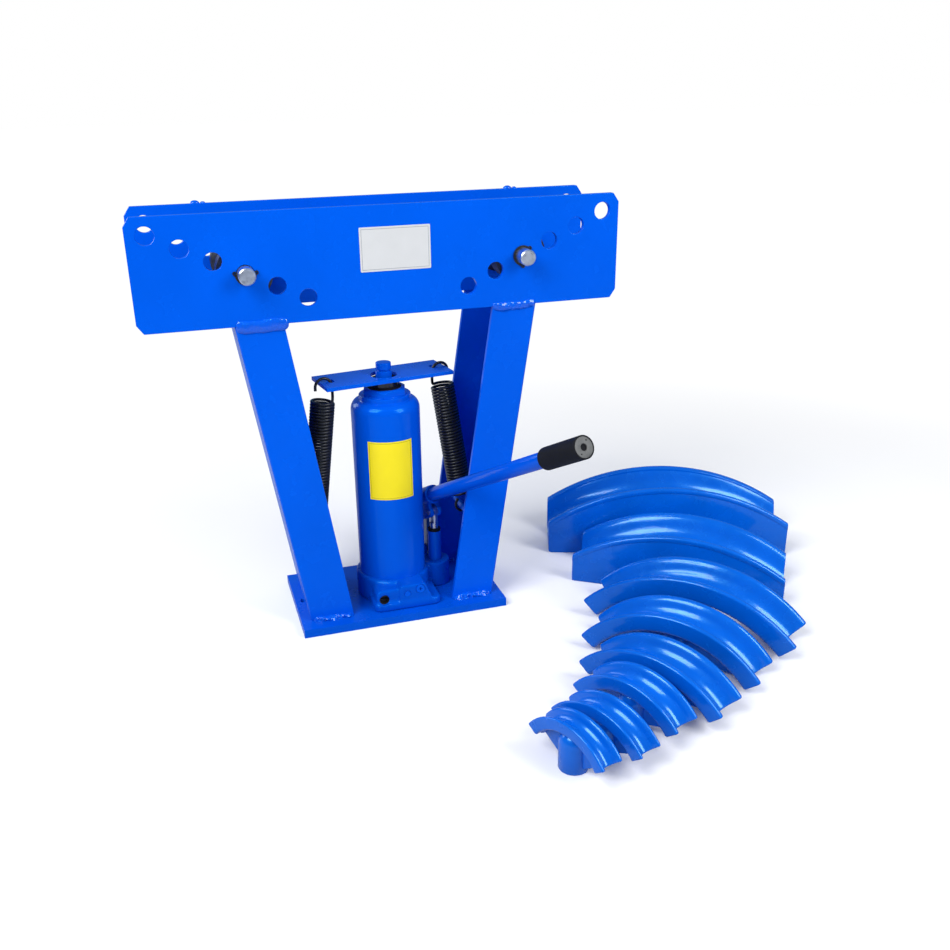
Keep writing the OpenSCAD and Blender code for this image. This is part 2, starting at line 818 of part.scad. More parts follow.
// Least space between parts of the wire that lie most of a curl or more apart
function wire_gap(p) = min([for (i = [0:len(p) - 6], j = [i + 5:len(p) - 1]) norm(p[i] - p[j])]) - wire_d;

// Round wire swept along points, with a frame that turns as little as it can
module wire(p, r, sides = 6) {
  n = len(p);
  t = [for (i = [0:n - 1]) unit(p[min(i + 1, n - 1)] - p[max(i - 1, 0)])];
  m0 = unit(cross(t[0], [0.3, 1, 0.2]));
  m = [for (i = 0, k = m0; i < n; i = i + 1, k = i < n ? unit(k - (k * t[i]) * t[i]) : k) k];
  pts = [for (i = [0:n - 1], j = [0:sides - 1]) let (a = 360 * j / sides)
    p[i] + r * (cos(a) * m[i] + sin(a) * cross(t[i], m[i]))];
  quads = [for (i = [0:n - 2], j = [0:sides - 1]) let (a = i * sides + j, b = i * sides + (j + 1) % sides)
    each [[a, a + sides, b], [b, a + sides, b + sides]]];
  e = (n - 1) * sides;
  caps = [for (j = [1:sides - 2]) each [[0, j, j + 1], [e, e + j + 1, e + j]]];
  polyhedron(points = pts, faces = concat(quads, caps));
}

module spring(s) {
  p = spring_path(s);
  echo(str("least gap of spring ", s, " to itself, mm: ", wire_gap(p)));
  color(black) wire(p, wire_d / 2);
}

module left_spring() {
  spring(-1);
}

module right_spring() {
  spring(1);
}

module pump_cylinder() {
  h = pump_sink + pump_l;
  color(paint) at_pump() translate([0, 0, pump_z - pump_sink]) difference() {
    cylinder(d = pump_d, h = h);
    translate([0, 0, 3]) cylinder(r = plunger_d / 2 + fit, h = h);
  }
}

module pump_gland() {
  color(black) at_pump() translate([0, 0, gland_z]) difference() {
    cylinder(d = pump_d - 2, h = gland_h);
    translate([0, 0, -1]) cylinder(r = plunger_d / 2 + fit, h = gland_h + 2);
  }
}

// Plunger with a flat tongue and an eye for its pin
module pump_plunger() {
  z1 = pin_z - neck_drop;
  z0 = z1 - plunger_dip;
  color(zinc) at_pump() difference() {
    union() {
      translate([0, 0, z0]) cylinder(d = plunger_d, h = z1 - z0);
      intersection() {
        translate([-eye_r, -tongue_t / 2, z1 - 1]) cube([2 * eye_r, tongue_t, neck_drop + 1]);
        translate([0, 0, z1 - 1]) cylinder(d = plunger_d, h = neck_drop + 1);
      }
      cross_pin(eye_r, 0, pin_z, tongue_t);
    }
    cross_pin(pin_r + fit, 0, pin_z, tongue_t + 2);
  }
}

cheek_out = cheek_gap / 2 + cheek_t;
lever_pin_l = 2 * cheek_out + 3;

module plunger_pin() {
  color(zinc) at_handle() cross_pin(pin_r - fit / 2, 0, 0, lever_pin_l);
}

module fulcrum_pin() {
  color(zinc) at_handle() cross_pin(pin_r - fit / 2, -lever_ab, 0, lever_pin_l);
}

module link_pin() {
  color(zinc) at_pump() cross_pin(pin_r - fit / 2, -link_s, link_z, link_pin_l + 3);
}

// Bar that carries the back of the handle socket, with play round its upper pin
module fulcrum_link() {
  foot = eye_r - 0.5;
  color(steel) at_pump() difference() {
    union() {
      cross_pin(link_head, -link_s, link_top, link_t);
      cross_pin(foot, -link_s, link_z, link_t);
      translate([-link_s - link_w / 2, -link_t / 2, link_z]) cube([link_w, link_t, link_top - link_z]);
    }
    cross_pin(pin_r + link_play, -link_s, link_top, link_t + 2);
    cross_pin(pin_r + fit, -link_s, link_z, link_t + 2);
  }
}

// Handle socket with two cheeks that hang under it
module handle_socket() {
  color(paint) at_handle() difference() {
    union() {
      translate([sock_x0 - 3, 0, socket_off]) rotate([0, 90, 0]) cylinder(r = sock_r, h = socket_l + 3);
      for (f = [-1, 1]) {
        y0 = f > 0 ? cheek_gap / 2 : -cheek_out;
        translate([-lever_ab, y0, -cheek_r]) cube([lever_ab, cheek_t, 2 * cheek_r]);
        translate([-lever_ab - 6, y0, 0]) cube([lever_ab + 12, cheek_t, socket_off]);
        for (x = [-lever_ab, 0]) translate([x, y0, 0]) rotate([-90, 0, 0])
          cylinder(r = cheek_r, h = cheek_t);
      }
    }
    translate([sock_x0, 0, socket_off]) rotate([0, 90, 0])
      cylinder(r = handle_d / 2 + 1.6 * fit, h = socket_l + 1);
    for (x = [-lever_ab, 0]) cross_pin(pin_r, x, 0, lever_pin_l);
  }
}

// Puts a round piece on the axis of the handle, from x0 on
module on_handle(x0) {
  at_handle() translate([x0, 0, socket_off]) rotate([0, 90, 0]) children();
}

module handle_tube() {
  len = handle_end - plug_t - sock_x0 - rest_gap;
  color(paint) on_handle(sock_x0 + rest_gap) difference() {
    cylinder(d = handle_d, h = len);
    translate([0, 0, -1]) cylinder(d = handle_d - 2 * handle_t, h = len + 2);
  }
}

module handle_grip() {
  r = handle_d / 2;
  color(black) on_handle(handle_end - grip_l) rotate_extrude()
    polygon([[r, 0], [r + grip_t - 1, 0], [r + grip_t, 1], [r + grip_t, grip_l - 1],
      [r + grip_t - 1, grip_l], [cap_r, grip_l], [cap_r, grip_l - plug_t], [r, grip_l - plug_t]]);
}

module handle_plug() {
  color("gray") on_handle(handle_end - plug_t) difference() {
    cylinder(r = cap_r - fit, h = plug_t - 0.5);
    translate([0, 0, -1]) cylinder(r = cap_hole_r, h = plug_t + 2);
  }
}

// Section of a die's groove, with its walls opened a little towards the edge
module groove_section(r, pipe, w, lip) {
  g = pipe / 2 + groove_play;
  c = r - flare_h;
  open = w / 2 - lip;
  translate([c, 0]) circle(r = g);
  polygon([[c, -g], [r + 0.01, -open], [r + 3, -open], [r + 3, open], [r + 0.01, open], [c, g]]);
}

// Turns a section about the axis of a die, through its arc
module die_arc(r, top, arc) {
  translate([0, 0, top - r]) rotate([90, 0, 0]) rotate([0, 0, 90 - arc])
    rotate_extrude(angle = 2 * arc, $fn = 96) children();
}

// Upright web under the arch, which runs from one tip past the boss to the other
module die_web(r_in, top, r, arc, foot) {
  n = 12;
  reach = 0.97 * arc;
  under = [for (i = [0:n]) let (a = reach - 2 * reach * i / n) [r_in * sin(a), top - r + r_in * cos(a)]];
  x = boss_d / 2 - 1;
  translate([0, web_t / 2, 0]) rotate([90, 0, 0]) linear_extrude(web_t)
    polygon(concat(under, [[-x, foot + web_rise], [x, foot + web_rise]]));
}

// Cast die that stands on its boss, its tips or its flat sides
module die(k) {
  d = DIES[k];
  pipe = d[0];
  r = d[1];
  arc = d[2];
  w = d[3];
  lip = d[4];
  flat = d[8] > 0;
  cheek = lip + cheek_more;
  g = pipe / 2 + groove_play;
  deep = g + flare_h;
  depth = deep + die_wall;
  by_tips = r - (r - depth) * cos(arc);
  by_boss = deep + dome_gap + boss_l;
  top = flat ? tall[k] : max(by_tips, by_boss);
  foot = max(0, top - by_boss);
  dome_z = top - deep - dome_gap - boss_d / 2;
  side = side_share * depth;
  half_l = r * sin(arc);
  sweep = flat ? asin(min(1, half_l / (r - depth))) : arc;
  color(paint) translate([d[5], d[6], 0]) rotate([0, 0, d[7]]) difference() {
    union() {
      die_arc(r, top, sweep) {
        translate([r - side, -w / 2]) square([side, w]);
        intersection() {
          translate([r - flare_h, 0]) circle(r = g + die_wall);
          translate([r - depth, -w / 2]) square([depth, w]);
        }
      }
      if (flat) intersection() {
        for (f = [-1, 1]) translate([0, f > 0 ? w / 2 : cheek - w / 2, top - r]) rotate([90, 0, 0])
          cylinder(r = r, h = cheek, $fn = 96);
        translate([-r, -w, -1]) cube([2 * r, 2 * w, top + 1]);
      }
      if (k >= web_from) die_web(r - depth + 1.5, top, r, arc, foot);
      translate([0, 0, foot]) cylinder(d = boss_d, h = dome_z - foot);
      translate([0, 0, dome_z]) sphere(d = boss_d);
    }
    die_arc(r, top, sweep + 3) groove_section(r, pipe, w, lip);
    if (flat) {
      for (s = [-1, 1]) translate([s * (half_l + r / 2), 0, 0]) cube([r, 2 * w, 3 * top], center = true);
      translate([-r, -w, -top]) cube([2 * r, 2 * w, top]);
    }
    translate([0, 0, foot - 1]) cylinder(r = head_d / 2 + nose_play, h = socket_depth + 1);
  }
}

module die_1() {
  die(0);
}

module die_2() {
  die(1);
}

module die_3() {
  die(2);
}

module die_4() {
  die(3);
}

module die_5() {
  die(4);
}

module die_6() {
  die(5);
}

module die_7() {
  die(6);
}

module die_8() {
  die(7);
}

base_plate();
left_leg();
right_leg();
front_beam();
rear_beam();
weld_beads();
name_plate();
left_spring_rod();
right_spring_rod();
left_pin();
right_pin();
left_front_clip();
left_rear_clip();
right_front_clip();
right_rear_clip();
left_roller();
right_roller();
jack_base();
oil_tube();
jack_label();
pressure_cylinder();
gland_nut();
wiper_ring();
filler_plug();
release_valve();
relief_screw();
oil_plug();
ram();
piston_seal();
ram_head();
cross_plate();
left_spring();
right_spring();
pump_cylinder();
pump_gland();
pump_plunger();
plunger_pin();
fulcrum_pin();
fulcrum_link();
link_pin();
handle_socket();
handle_tube();
handle_grip();
handle_plug();
die_1();
die_2();
die_3();
die_4();
die_5();
die_6();
die_7();
die_8();
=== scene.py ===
"""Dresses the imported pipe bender: paint, welds, springs, castings, labels and a plain studio."""

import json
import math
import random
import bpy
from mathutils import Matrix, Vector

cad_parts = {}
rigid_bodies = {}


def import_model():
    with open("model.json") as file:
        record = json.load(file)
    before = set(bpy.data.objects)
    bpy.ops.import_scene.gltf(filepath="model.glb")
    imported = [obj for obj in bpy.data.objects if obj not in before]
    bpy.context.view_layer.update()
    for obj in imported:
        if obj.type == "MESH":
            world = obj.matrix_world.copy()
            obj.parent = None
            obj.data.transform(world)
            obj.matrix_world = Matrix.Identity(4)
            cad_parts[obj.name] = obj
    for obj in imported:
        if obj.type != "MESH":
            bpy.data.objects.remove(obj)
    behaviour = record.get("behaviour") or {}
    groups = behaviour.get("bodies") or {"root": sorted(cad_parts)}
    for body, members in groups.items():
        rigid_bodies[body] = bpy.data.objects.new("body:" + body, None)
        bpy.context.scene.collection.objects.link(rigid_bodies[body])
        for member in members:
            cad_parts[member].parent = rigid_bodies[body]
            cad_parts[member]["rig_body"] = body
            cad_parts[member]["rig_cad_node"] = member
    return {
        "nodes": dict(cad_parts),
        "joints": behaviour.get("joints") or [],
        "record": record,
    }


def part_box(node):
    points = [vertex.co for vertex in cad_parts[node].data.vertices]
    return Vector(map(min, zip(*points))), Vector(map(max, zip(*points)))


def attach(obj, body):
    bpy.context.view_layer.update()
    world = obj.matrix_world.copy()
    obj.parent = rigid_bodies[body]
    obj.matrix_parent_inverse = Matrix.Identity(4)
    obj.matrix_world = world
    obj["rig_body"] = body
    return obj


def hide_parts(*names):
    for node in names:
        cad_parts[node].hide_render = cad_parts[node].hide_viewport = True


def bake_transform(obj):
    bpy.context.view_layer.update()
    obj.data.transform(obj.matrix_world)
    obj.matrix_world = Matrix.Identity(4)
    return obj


bl_info = {
    "name": "Pipe Bender Dresser",
    "version": (1, 0, 0),
    "blender": (4, 5, 0),
    "location": "3D View > Sidebar > Bender",
    "description": "Models the finished surfaces of a hydraulic pipe bender over its packed frame",
    "category": "Object",
}

from collections import namedtuple

import bpy
from bpy.props import FloatProperty, FloatVectorProperty, IntProperty, PointerProperty
from mathutils import Matrix, Vector

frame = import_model()
NODES = frame["nodes"]
MOUNTS = {m["name"]: m for m in frame["record"]["mounts"]}
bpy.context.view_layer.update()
MM = 0.001

# The dies from the largest on: pipe, radius of the lips, half arc, width, lip, and turn on the floor
Die = namedtuple("Die", "pipe radius arc width lip turn")
DIE_ROWS = (
    (88.9, 383, 34.6, 123, 12, -20.4),
    (76.1, 317, 34.1, 112, 11, -34.6),
    (60.3, 230.5, 47.1, 88.5, 9, -44.8),
    (48.3, 174, 52.6, 73.5, 8, -47.8),
    (42.4, 149, 49.2, 65.5, 7.5, -56.7),
    (33.7, 106, 53.3, 52, 6.5, -60.8),
    (26.9, 96, 52.2, 41, 5.5, -64),
    (21.3, 81, 54.6, 36.5, 5, -67.2),
)
DIES = [Die(pipe * MM, radius * MM, math.radians(arc), width * MM, lip * MM, math.radians(turn))
        for pipe, radius, arc, width, lip, turn in DIE_ROWS]
# The first dies stand on upright side plates, and one die has a rougher skin than the rest
FLAT_DIES = 2
ROUGH_DIE = 2


class BenderLooks(bpy.types.PropertyGroup):
    paint: FloatVectorProperty(name="Frame paint", description="Colour of the gloss paint on frame and jack",
                               subtype="COLOR", default=(0.0, 0.094, 0.7), min=0, max=1)
    die_paint: FloatVectorProperty(name="Die paint", description="Colour of the paint on the cast dies",
                                   subtype="COLOR", default=(0.0, 0.112, 0.62), min=0, max=1)
    label: FloatVectorProperty(name="Jack label", description="Ground colour of the blank label on the jack",
                               subtype="COLOR", default=(0.95, 0.77, 0.0), min=0, max=1)
    plate: FloatVectorProperty(name="Name plate", description="Ground colour of the blank plate on the beam",
                               subtype="COLOR", default=(0.64, 0.64, 0.62), min=0, max=1)
    paint_roughness: FloatProperty(name="Paint roughness", description="Mean roughness of the gloss paint",
                                   subtype="FACTOR", default=0.24, min=0.05, max=0.8)


class BenderSizes(bpy.types.PropertyGroup):
    edge: FloatProperty(name="Plate edge", description="Rounding on the edges of cut steel plates",
                        unit="LENGTH", default=0.0009, min=0.0002, max=0.003)
    fold: FloatProperty(name="Channel fold", description="Outer radius where the leg's sheet is folded",
                        unit="LENGTH", default=0.004, min=0.001, max=0.01)
    cast_edge: FloatProperty(name="Cast edge", description="Rounding on the edges of the cast dies",
                             unit="LENGTH", default=0.0018, min=0.0005, max=0.004)
    wire: FloatProperty(name="Spring wire", description="Radius of the spring wire",
                        unit="LENGTH", default=0.00235, min=0.001, max=0.004)
    coil: FloatProperty(name="Spring coil", description="Mean radius of the spring coil",
                        unit="LENGTH", default=0.0174, min=0.01, max=0.03)
    curls: IntProperty(name="Spring curls", description="Curls in each return spring",
                       default=37, min=10, max=48)


def looks():
    return bpy.context.scene.bender_looks


def sizes():
    return bpy.context.scene.bender_sizes


# Selection and editing

def only(*objs):
    """Selects these objects alone and makes the last one active."""
    if bpy.context.object and bpy.context.object.mode != "OBJECT":
        bpy.ops.object.mode_set(mode="OBJECT")
    bpy.ops.object.select_all(action="DESELECT")
    for o in objs:
        o.select_set(True)
        bpy.context.view_layer.objects.active = o
    return objs[-1] if objs else None


def edit(obj, mode="VERT", everything=True):
    only(obj)
    bpy.ops.object.mode_set(mode="EDIT")
    bpy.ops.mesh.select_mode(type=mode)
    bpy.ops.mesh.select_all(action="SELECT" if everything else "DESELECT")


def done():
    bpy.ops.object.mode_set(mode="OBJECT")


def pick_faces(obj, test):
    """Selects the faces for which test(centre, normal) holds and stays in edit mode."""
    edit(obj, "FACE", False)
    done()
    for f in obj.data.polygons:
        f.select = bool(test(f.center, f.normal))
    bpy.ops.object.mode_set(mode="EDIT")


def pick_edges(obj, test):
    """Selects the edges for which test(first end, second end) holds and stays in edit mode."""
    edit(obj, "EDGE", False)
    done()
    v = obj.data.vertices
    for e in obj.data.edges:
        e.select = bool(test(v[e.vertices[0]].co, v[e.vertices[1]].co))
    bpy.ops.object.mode_set(mode="EDIT")


def modifier(obj, kind, **values):
    """Adds one modifier, sets it up and applies it."""
    only(obj)
    bpy.ops.object.modifier_add(type=kind)
    m = obj.modifiers[-1]
    for k, v in values.items():
        setattr(m, k, v)
    bpy.ops.object.modifier_apply(modifier=m.name)


def cut_by(obj, cutter):
    """Cuts one object out of another and deletes the cutter."""
    modifier(obj, "BOOLEAN", operation="DIFFERENCE", object=cutter, solver="EXACT")
    only(cutter)
    bpy.ops.object.delete()


def bevel(obj, width, segments=2, angle=40, clamp=True):
    """Rounds the edges that are sharper than an angle in degrees."""
    modifier(obj, "BEVEL", width=width, segments=segments, limit_method="ANGLE",
             angle_limit=math.radians(angle), use_clamp_overlap=clamp, miter_outer="MITER_ARC")


def smooth(obj, angle=35):
    """Shades smooth, apart from edges sharper than an angle in degrees."""
    only(obj)
    bpy.ops.object.shade_smooth_by_angle(angle=math.radians(angle))


def level(obj):
    """Lets the large flat faces alone set the normals along their rims."""
    modifier(obj, "WEIGHTED_NORMAL", mode="FACE_AREA", weight=50, keep_sharp=True)


def outward(obj):
    """Merges doubles and turns all faces outwards."""
    edit(obj)
    bpy.ops.mesh.remove_doubles(threshold=1e-6)
    bpy.ops.mesh.normals_make_consistent(inside=False)
    done()


def place_in_mesh():
    """Puts the selected object's place, turn and scale into its mesh."""
    bpy.ops.object.transform_apply(location=True, rotation=True, scale=True)


def joined(objs):
    """Makes one object of several, named as the last."""
    obj = only(*objs)
    bpy.ops.object.join()
    return obj


def trim(obj, at, facing):
    """Cuts off what lies beyond a plane and closes the cut."""
    edit(obj)
    bpy.ops.mesh.bisect(plane_co=at, plane_no=facing, use_fill=True, clear_outer=True)
    done()


def cylinder(radius, depth, place, turn=(0, 0, 0), sides=48, ends="NGON"):
    """A round bar to cut with or to shape further."""
    only()
    bpy.ops.mesh.primitive_cylinder_add(vertices=sides, radius=radius, depth=depth, end_fill_type=ends,
                                        location=place, rotation=turn)
    return bpy.context.object


def settle(obj, name, body, finish, slot, *nodes):
    """Puts a finished piece's place into its mesh, names it, paints it and lets it ride on a body."""
    only(obj)
    place_in_mesh()
    obj.name = name
    obj.data.name = name
    obj.data.materials.clear()
    obj.data.materials.append(finish)
    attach(obj, body)
    if nodes:
        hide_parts(*nodes)
    return obj


def spaced(start, end, n):
    """Evenly spaced values from start to end, both included."""
    return [start + (end - start) * i / n for i in range(n + 1)]


def axes(x, y, z, place):
    """The matrix whose columns are three axes and a place."""
    return Matrix((*zip(x, y, z, place), (0, 0, 0, 1)))


def outline_ring(points, name="outline"):
    """A closed loop of edges through the points, without a face."""
    only()
    bpy.ops.mesh.primitive_circle_add(vertices=len(points), radius=0.01, fill_type="NOTHING")
    obj = bpy.context.object
    obj.name = name
    for v, p in zip(obj.data.vertices, points):
        v.co = p
    return obj


def spun(points, axis, centre, angle, steps, name="spun"):
    """Turns a closed outline about an axis; a part turn gets its two end faces."""
    obj = outline_ring(points, name)
    whole = abs(angle) > 2 * math.pi - 1e-6
    edit(obj, "EDGE")
    bpy.ops.mesh.spin(steps=steps, angle=-angle, center=centre, axis=axis, use_auto_merge=False)
    done()
    if not whole:
        n = len(points)
        last = len(obj.data.vertices) - n
        for first in (0, last):
            edit(obj, "VERT", False)
            done()
            for i in range(first, first + n):
                obj.data.vertices[i].select = True
            bpy.ops.object.mode_set(mode="EDIT")
            bpy.ops.mesh.edge_face_add()
            done()
    outward(obj)
    return obj


def lathed(outline, steps, name):
    """Turns an outline of (radius, height) points about Z."""
    return spun([Vector((r, 0, z)) for r, z in outline], (0, 0, 1), (0, 0, 0), 2 * math.pi, steps, name)


def slab(points, shift, name):
    """A closed plate: a face through the points, drawn out by a shift."""
    obj = outline_ring(points, name)
    edit(obj)
    bpy.ops.mesh.edge_face_add()
    bpy.ops.mesh.extrude_region_move(TRANSFORM_OT_translate={"value": shift})
    done()
    outward(obj)
    return obj


def corner_arc(a, b, c, r, n=4):
    """Points that round the corner b between a and c, in two dimensions."""
    u, w = (a - b).normalized(), (c - b).normalized()
    half = u.angle(w) / 2
    if r <= 0 or half > math.pi / 2 - 0.02:
        return [b]
    d = min(r / math.tan(half), 0.45 * (a - b).length, 0.45 * (c - b).length)
    r = d * math.tan(half)
    mid = b + (u + w).normalized() * (r / math.sin(half))
    s, e = b + u * d - mid, b + w * d - mid
    turn = math.atan2(s.x * e.y - s.y * e.x, s.dot(e))
    return [mid + Matrix.Rotation(turn * i / n, 2) @ s for i in range(n + 1)]


def rounded(points, n=4):
    """Outline with each corner given as (x, y, radius)."""
    p = [Vector(q[:2]) for q in points]
    out = []
    for i, q in enumerate(points):
        out += corner_arc(p[i - 1], p[i], p[(i + 1) % len(p)], q[2] if len(q) > 2 else 0, n)
    return out


def node_copy(node):
    """A free copy of a CAD node with its loose triangles merged into faces."""
    src = NODES[node]
    only(src)
    bpy.ops.object.duplicate(linked=False)
    obj = bpy.context.object
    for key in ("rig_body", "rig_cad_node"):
        if key in obj:
            del obj[key]
    bpy.ops.object.parent_clear(type="CLEAR")
    bpy.ops.mesh.customdata_custom_splitnormals_clear()
    edit(obj)
    bpy.ops.mesh.remove_doubles(threshold=2e-6)
    bpy.ops.mesh.dissolve_limited(angle_limit=math.radians(0.6))
    done()
    return obj


def cast_copy(node, voxel, passes):
    """A copy of a CAD node whose edges are softened as on a casting."""
    obj = node_copy(node)
    modifier(obj, "REMESH", mode="VOXEL", voxel_size=voxel, adaptivity=0.0)
    modifier(obj, "SMOOTH", factor=0.5, iterations=passes)
    only(obj)
    bpy.ops.object.shade_smooth()
    return obj


# Finishes

class Nodes:
    """A small hand for wiring one material."""

    def __init__(self, name):
        self.mat = bpy.data.materials.new(name)
        self.mat.use_nodes = True
        self.tree = self.mat.node_tree
        self.shader = self.tree.nodes["Principled BSDF"]
        self.place = self.add("ShaderNodeTexCoord")

    def add(self, kind, **values):
        n = self.tree.nodes.new(kind)
        for k, v in values.items():
            setattr(n, k, v)
        return n

    def link(self, a, b):
        self.tree.links.new(a, b)

    def mapped(self, scale=(1, 1, 1), turn=(0, 0, 0), shift=(0, 0, 0)):
        m = self.add("ShaderNodeMapping")
        m.inputs["Scale"].default_value = scale
        m.inputs["Rotation"].default_value = turn
        m.inputs["Location"].default_value = shift
        self.link(self.place.outputs["Object"], m.inputs["Vector"])
        return m.outputs["Vector"]

    def noise(self, scale, detail=3, rough=0.5, vector=None):
        n = self.add("ShaderNodeTexNoise")
        n.inputs["Scale"].default_value = scale
        n.inputs["Detail"].default_value = detail
        n.inputs["Roughness"].default_value = rough
        self.link(vector or self.place.outputs["Object"], n.inputs["Vector"])
        return n.outputs["Fac"]

    def ramp(self, fac, low, high, at=(0.3, 0.7)):
        r = self.add("ShaderNodeValToRGB")
        r.color_ramp.elements[0].position, r.color_ramp.elements[1].position = at
        r.color_ramp.elements[0].color = (*low, 1)
        r.color_ramp.elements[1].color = (*high, 1)
        self.link(fac, r.inputs["Fac"])
        return r.outputs["Color"]

    def span(self, fac, low, high, at=(0.3, 0.7)):
        r = self.add("ShaderNodeMapRange")
        for key, v in zip(("From Min", "From Max", "To Min", "To Max"), (*at, low, high)):
            r.inputs[key].default_value = v
        self.link(fac, r.inputs["Value"])
        return r.outputs["Result"]

    def mix(self, fac, a, b):
        m = self.add("ShaderNodeMix", data_type="RGBA")
        self.link(fac, m.inputs["Factor"])
        ins = [s for s in m.inputs if s.type == "RGBA"]
        for socket, v in zip(ins, (a, b)):
            if isinstance(v, tuple):
                socket.default_value = (*v, 1)
            else:
                self.link(v, socket)
        return next(s for s in m.outputs if s.type == "RGBA")

    def maths(self, how, a, b=None):
        m = self.add("ShaderNodeMath", operation=how)
        for socket, v in zip(m.inputs, (a, b)):
            if v is None:
                continue
            if isinstance(v, (int, float)):
                socket.default_value = v
            else:
                self.link(v, socket)
        return m.outputs["Value"]

    def bump(self, height, strength, distance, under=None):
        b = self.add("ShaderNodeBump")
        b.inputs["Strength"].default_value = strength
        b.inputs["Distance"].default_value = distance
        self.link(height, b.inputs["Height"])
        if under is not None:
            self.link(under, b.inputs["Normal"])
        return b.outputs["Normal"]

    def set(self, **values):
        names = {"color": "Base Color", "rough": "Roughness", "metal": "Metallic", "coat": "Coat Weight",
                 "coat_rough": "Coat Roughness", "normal": "Normal", "spec": "Specular IOR Level",
                 "spec_tint": "Specular Tint"}
        for k, v in values.items():
            socket = self.shader.inputs[names[k]]
            if isinstance(v, (int, float, tuple)):
                socket.default_value = v
            else:
                self.link(v, socket)
        return self.mat


PAINT_SHEEN = (0.02, 0.5, 1.0, 1.0)
DIE_SHEEN = (0.1, 0.62, 1.0, 1.0)


def shade(c, k):
    return tuple(min(1.0, max(0.0, x * k)) for x in c)


def gloss_paint(name, colour, rough, peel=0.05, runs=0.0, run_scale=55, coat=0.05):
    """Sprayed gloss paint: faint clouds of colour, orange peel, and soft runs where asked."""
    n = Nodes(name)
    cloud = n.noise(9, 3)
    fine = n.noise(420, 2)
    tint = n.ramp(cloud, shade(colour, 0.95), shade(colour, 1.04))
    dust = n.noise(160, 5, 0.75)
    tint = n.mix(n.span(dust, 0.0, 0.06, (0.64, 0.82)), tint, (0.04, 0.25, 0.9))
    peel_n = n.bump(fine, peel, 0.0004)
    if runs:
        peel_n = n.bump(n.noise(run_scale, 4, 0.6), runs, 0.002, peel_n)
    return n.set(color=tint, rough=n.span(n.noise(35, 4), rough * 0.85, rough * 1.25), coat=coat,
                 coat_rough=0.1, normal=peel_n, spec=0.5, spec_tint=PAINT_SHEEN)


def cast_paint(name, colour, rough, skin_height):
    """Gloss paint over a cast skin: soft waves, fine pits, clouds of deeper colour, and painted shade where
    the skin sinks.
    """
    n = Nodes(name)
    skin = n.noise(62, 6, 0.62)
    cloud = n.noise(13, 4)
    tint = n.ramp(cloud, shade(colour, 0.9), shade(colour, 1.08))
    # Painted shade: the colour darkens where the skin's bump height is lowest.
    tint = n.mix(n.span(skin, 0.2, 0.0, (0.3, 0.45)), tint, shade(colour, 0.8))
    ripple = n.bump(skin, skin_height, 0.002)
    ripple = n.bump(n.noise(340, 3), 0.03, 0.0006, ripple)
    return n.set(color=tint, rough=n.span(n.noise(48, 5), rough * 0.75, rough * 1.3), coat=0.55,
                 coat_rough=0.11, normal=ripple, spec=0.9, spec_tint=DIE_SHEEN)


def bright_zinc(name, colour, turned):
    """Plated steel with fine turning marks across its axis and pale bloom."""
    n = Nodes(name)
    bloom = n.noise(120, 5, 0.7)
    marks = n.noise(1.0, 2, 0.5, n.mapped(turned))
    tint = n.ramp(bloom, shade(colour, 0.82), shade(colour, 1.08))
    return n.set(color=tint, metal=1.0, rough=n.span(bloom, 0.24, 0.42), normal=n.bump(marks, 0.12, 0.0004))


def dark_steel(name, colour, rough, metal, turned):
    """Oiled or blackened steel with turning marks and thin bare rubs."""
    n = Nodes(name)
    rub = n.noise(70, 5, 0.7)
    marks = n.noise(1.0, 2, 0.5, n.mapped(turned))
    tint = n.ramp(rub, shade(colour, 0.7), shade(colour, 1.7), (0.35, 0.75))
    return n.set(color=tint, metal=metal, rough=n.span(rub, rough * 0.8, rough * 1.3),
                 normal=n.bump(marks, 0.1, 0.0004))


def soft_rubber(name, colour):
    """Black rubber with a fine grain and a dull bloom."""
    n = Nodes(name)
    grain = n.noise(900, 3, 0.6)
    bloom = n.noise(40, 4)
    return n.set(color=n.ramp(bloom, shade(colour, 0.8), shade(colour, 1.5)),
                 rough=n.span(bloom, 0.62, 0.8), normal=n.bump(grain, 0.25, 0.0006), spec=0.2)


def printed_sheet(name, colour, edge, mask):
    """Blank printed sheet with a thin border line; mask wires the border from the sheet's own sizes."""
    n = Nodes(name)
    cloud = n.noise(30, 3)
    ground = n.ramp(cloud, shade(colour, 0.965), shade(colour, 1.0))
    tint = n.mix(mask(n), ground, edge)
    return n.set(color=tint, rough=n.span(n.noise(90, 3), 0.32, 0.46),
                 normal=n.bump(n.noise(260, 2), 0.03, 0.0004))


def centred(axis, middle):
    """Wires one Object coordinate, measured from the middle of a sheet."""
    def wire(n):
        parts = n.add("ShaderNodeSeparateXYZ")
        n.link(n.place.outputs["Object"], parts.inputs["Vector"])
        return n.maths("SUBTRACT", parts.outputs[axis], middle)
    return wire


def border(values, half, inset, width):
    """Mask for a line that runs inset from the edge of a sheet, from centred coordinates and half sizes."""
    def wire(n):
        far = [n.maths("SUBTRACT", n.maths("ABSOLUTE", v(n)), h - inset) for v, h in zip(values, half)]
        most = n.maths("MAXIMUM", *far)
        return n.maths("LESS_THAN", n.maths("ABSOLUTE", most), width / 2)
    return wire


FINISH = {}


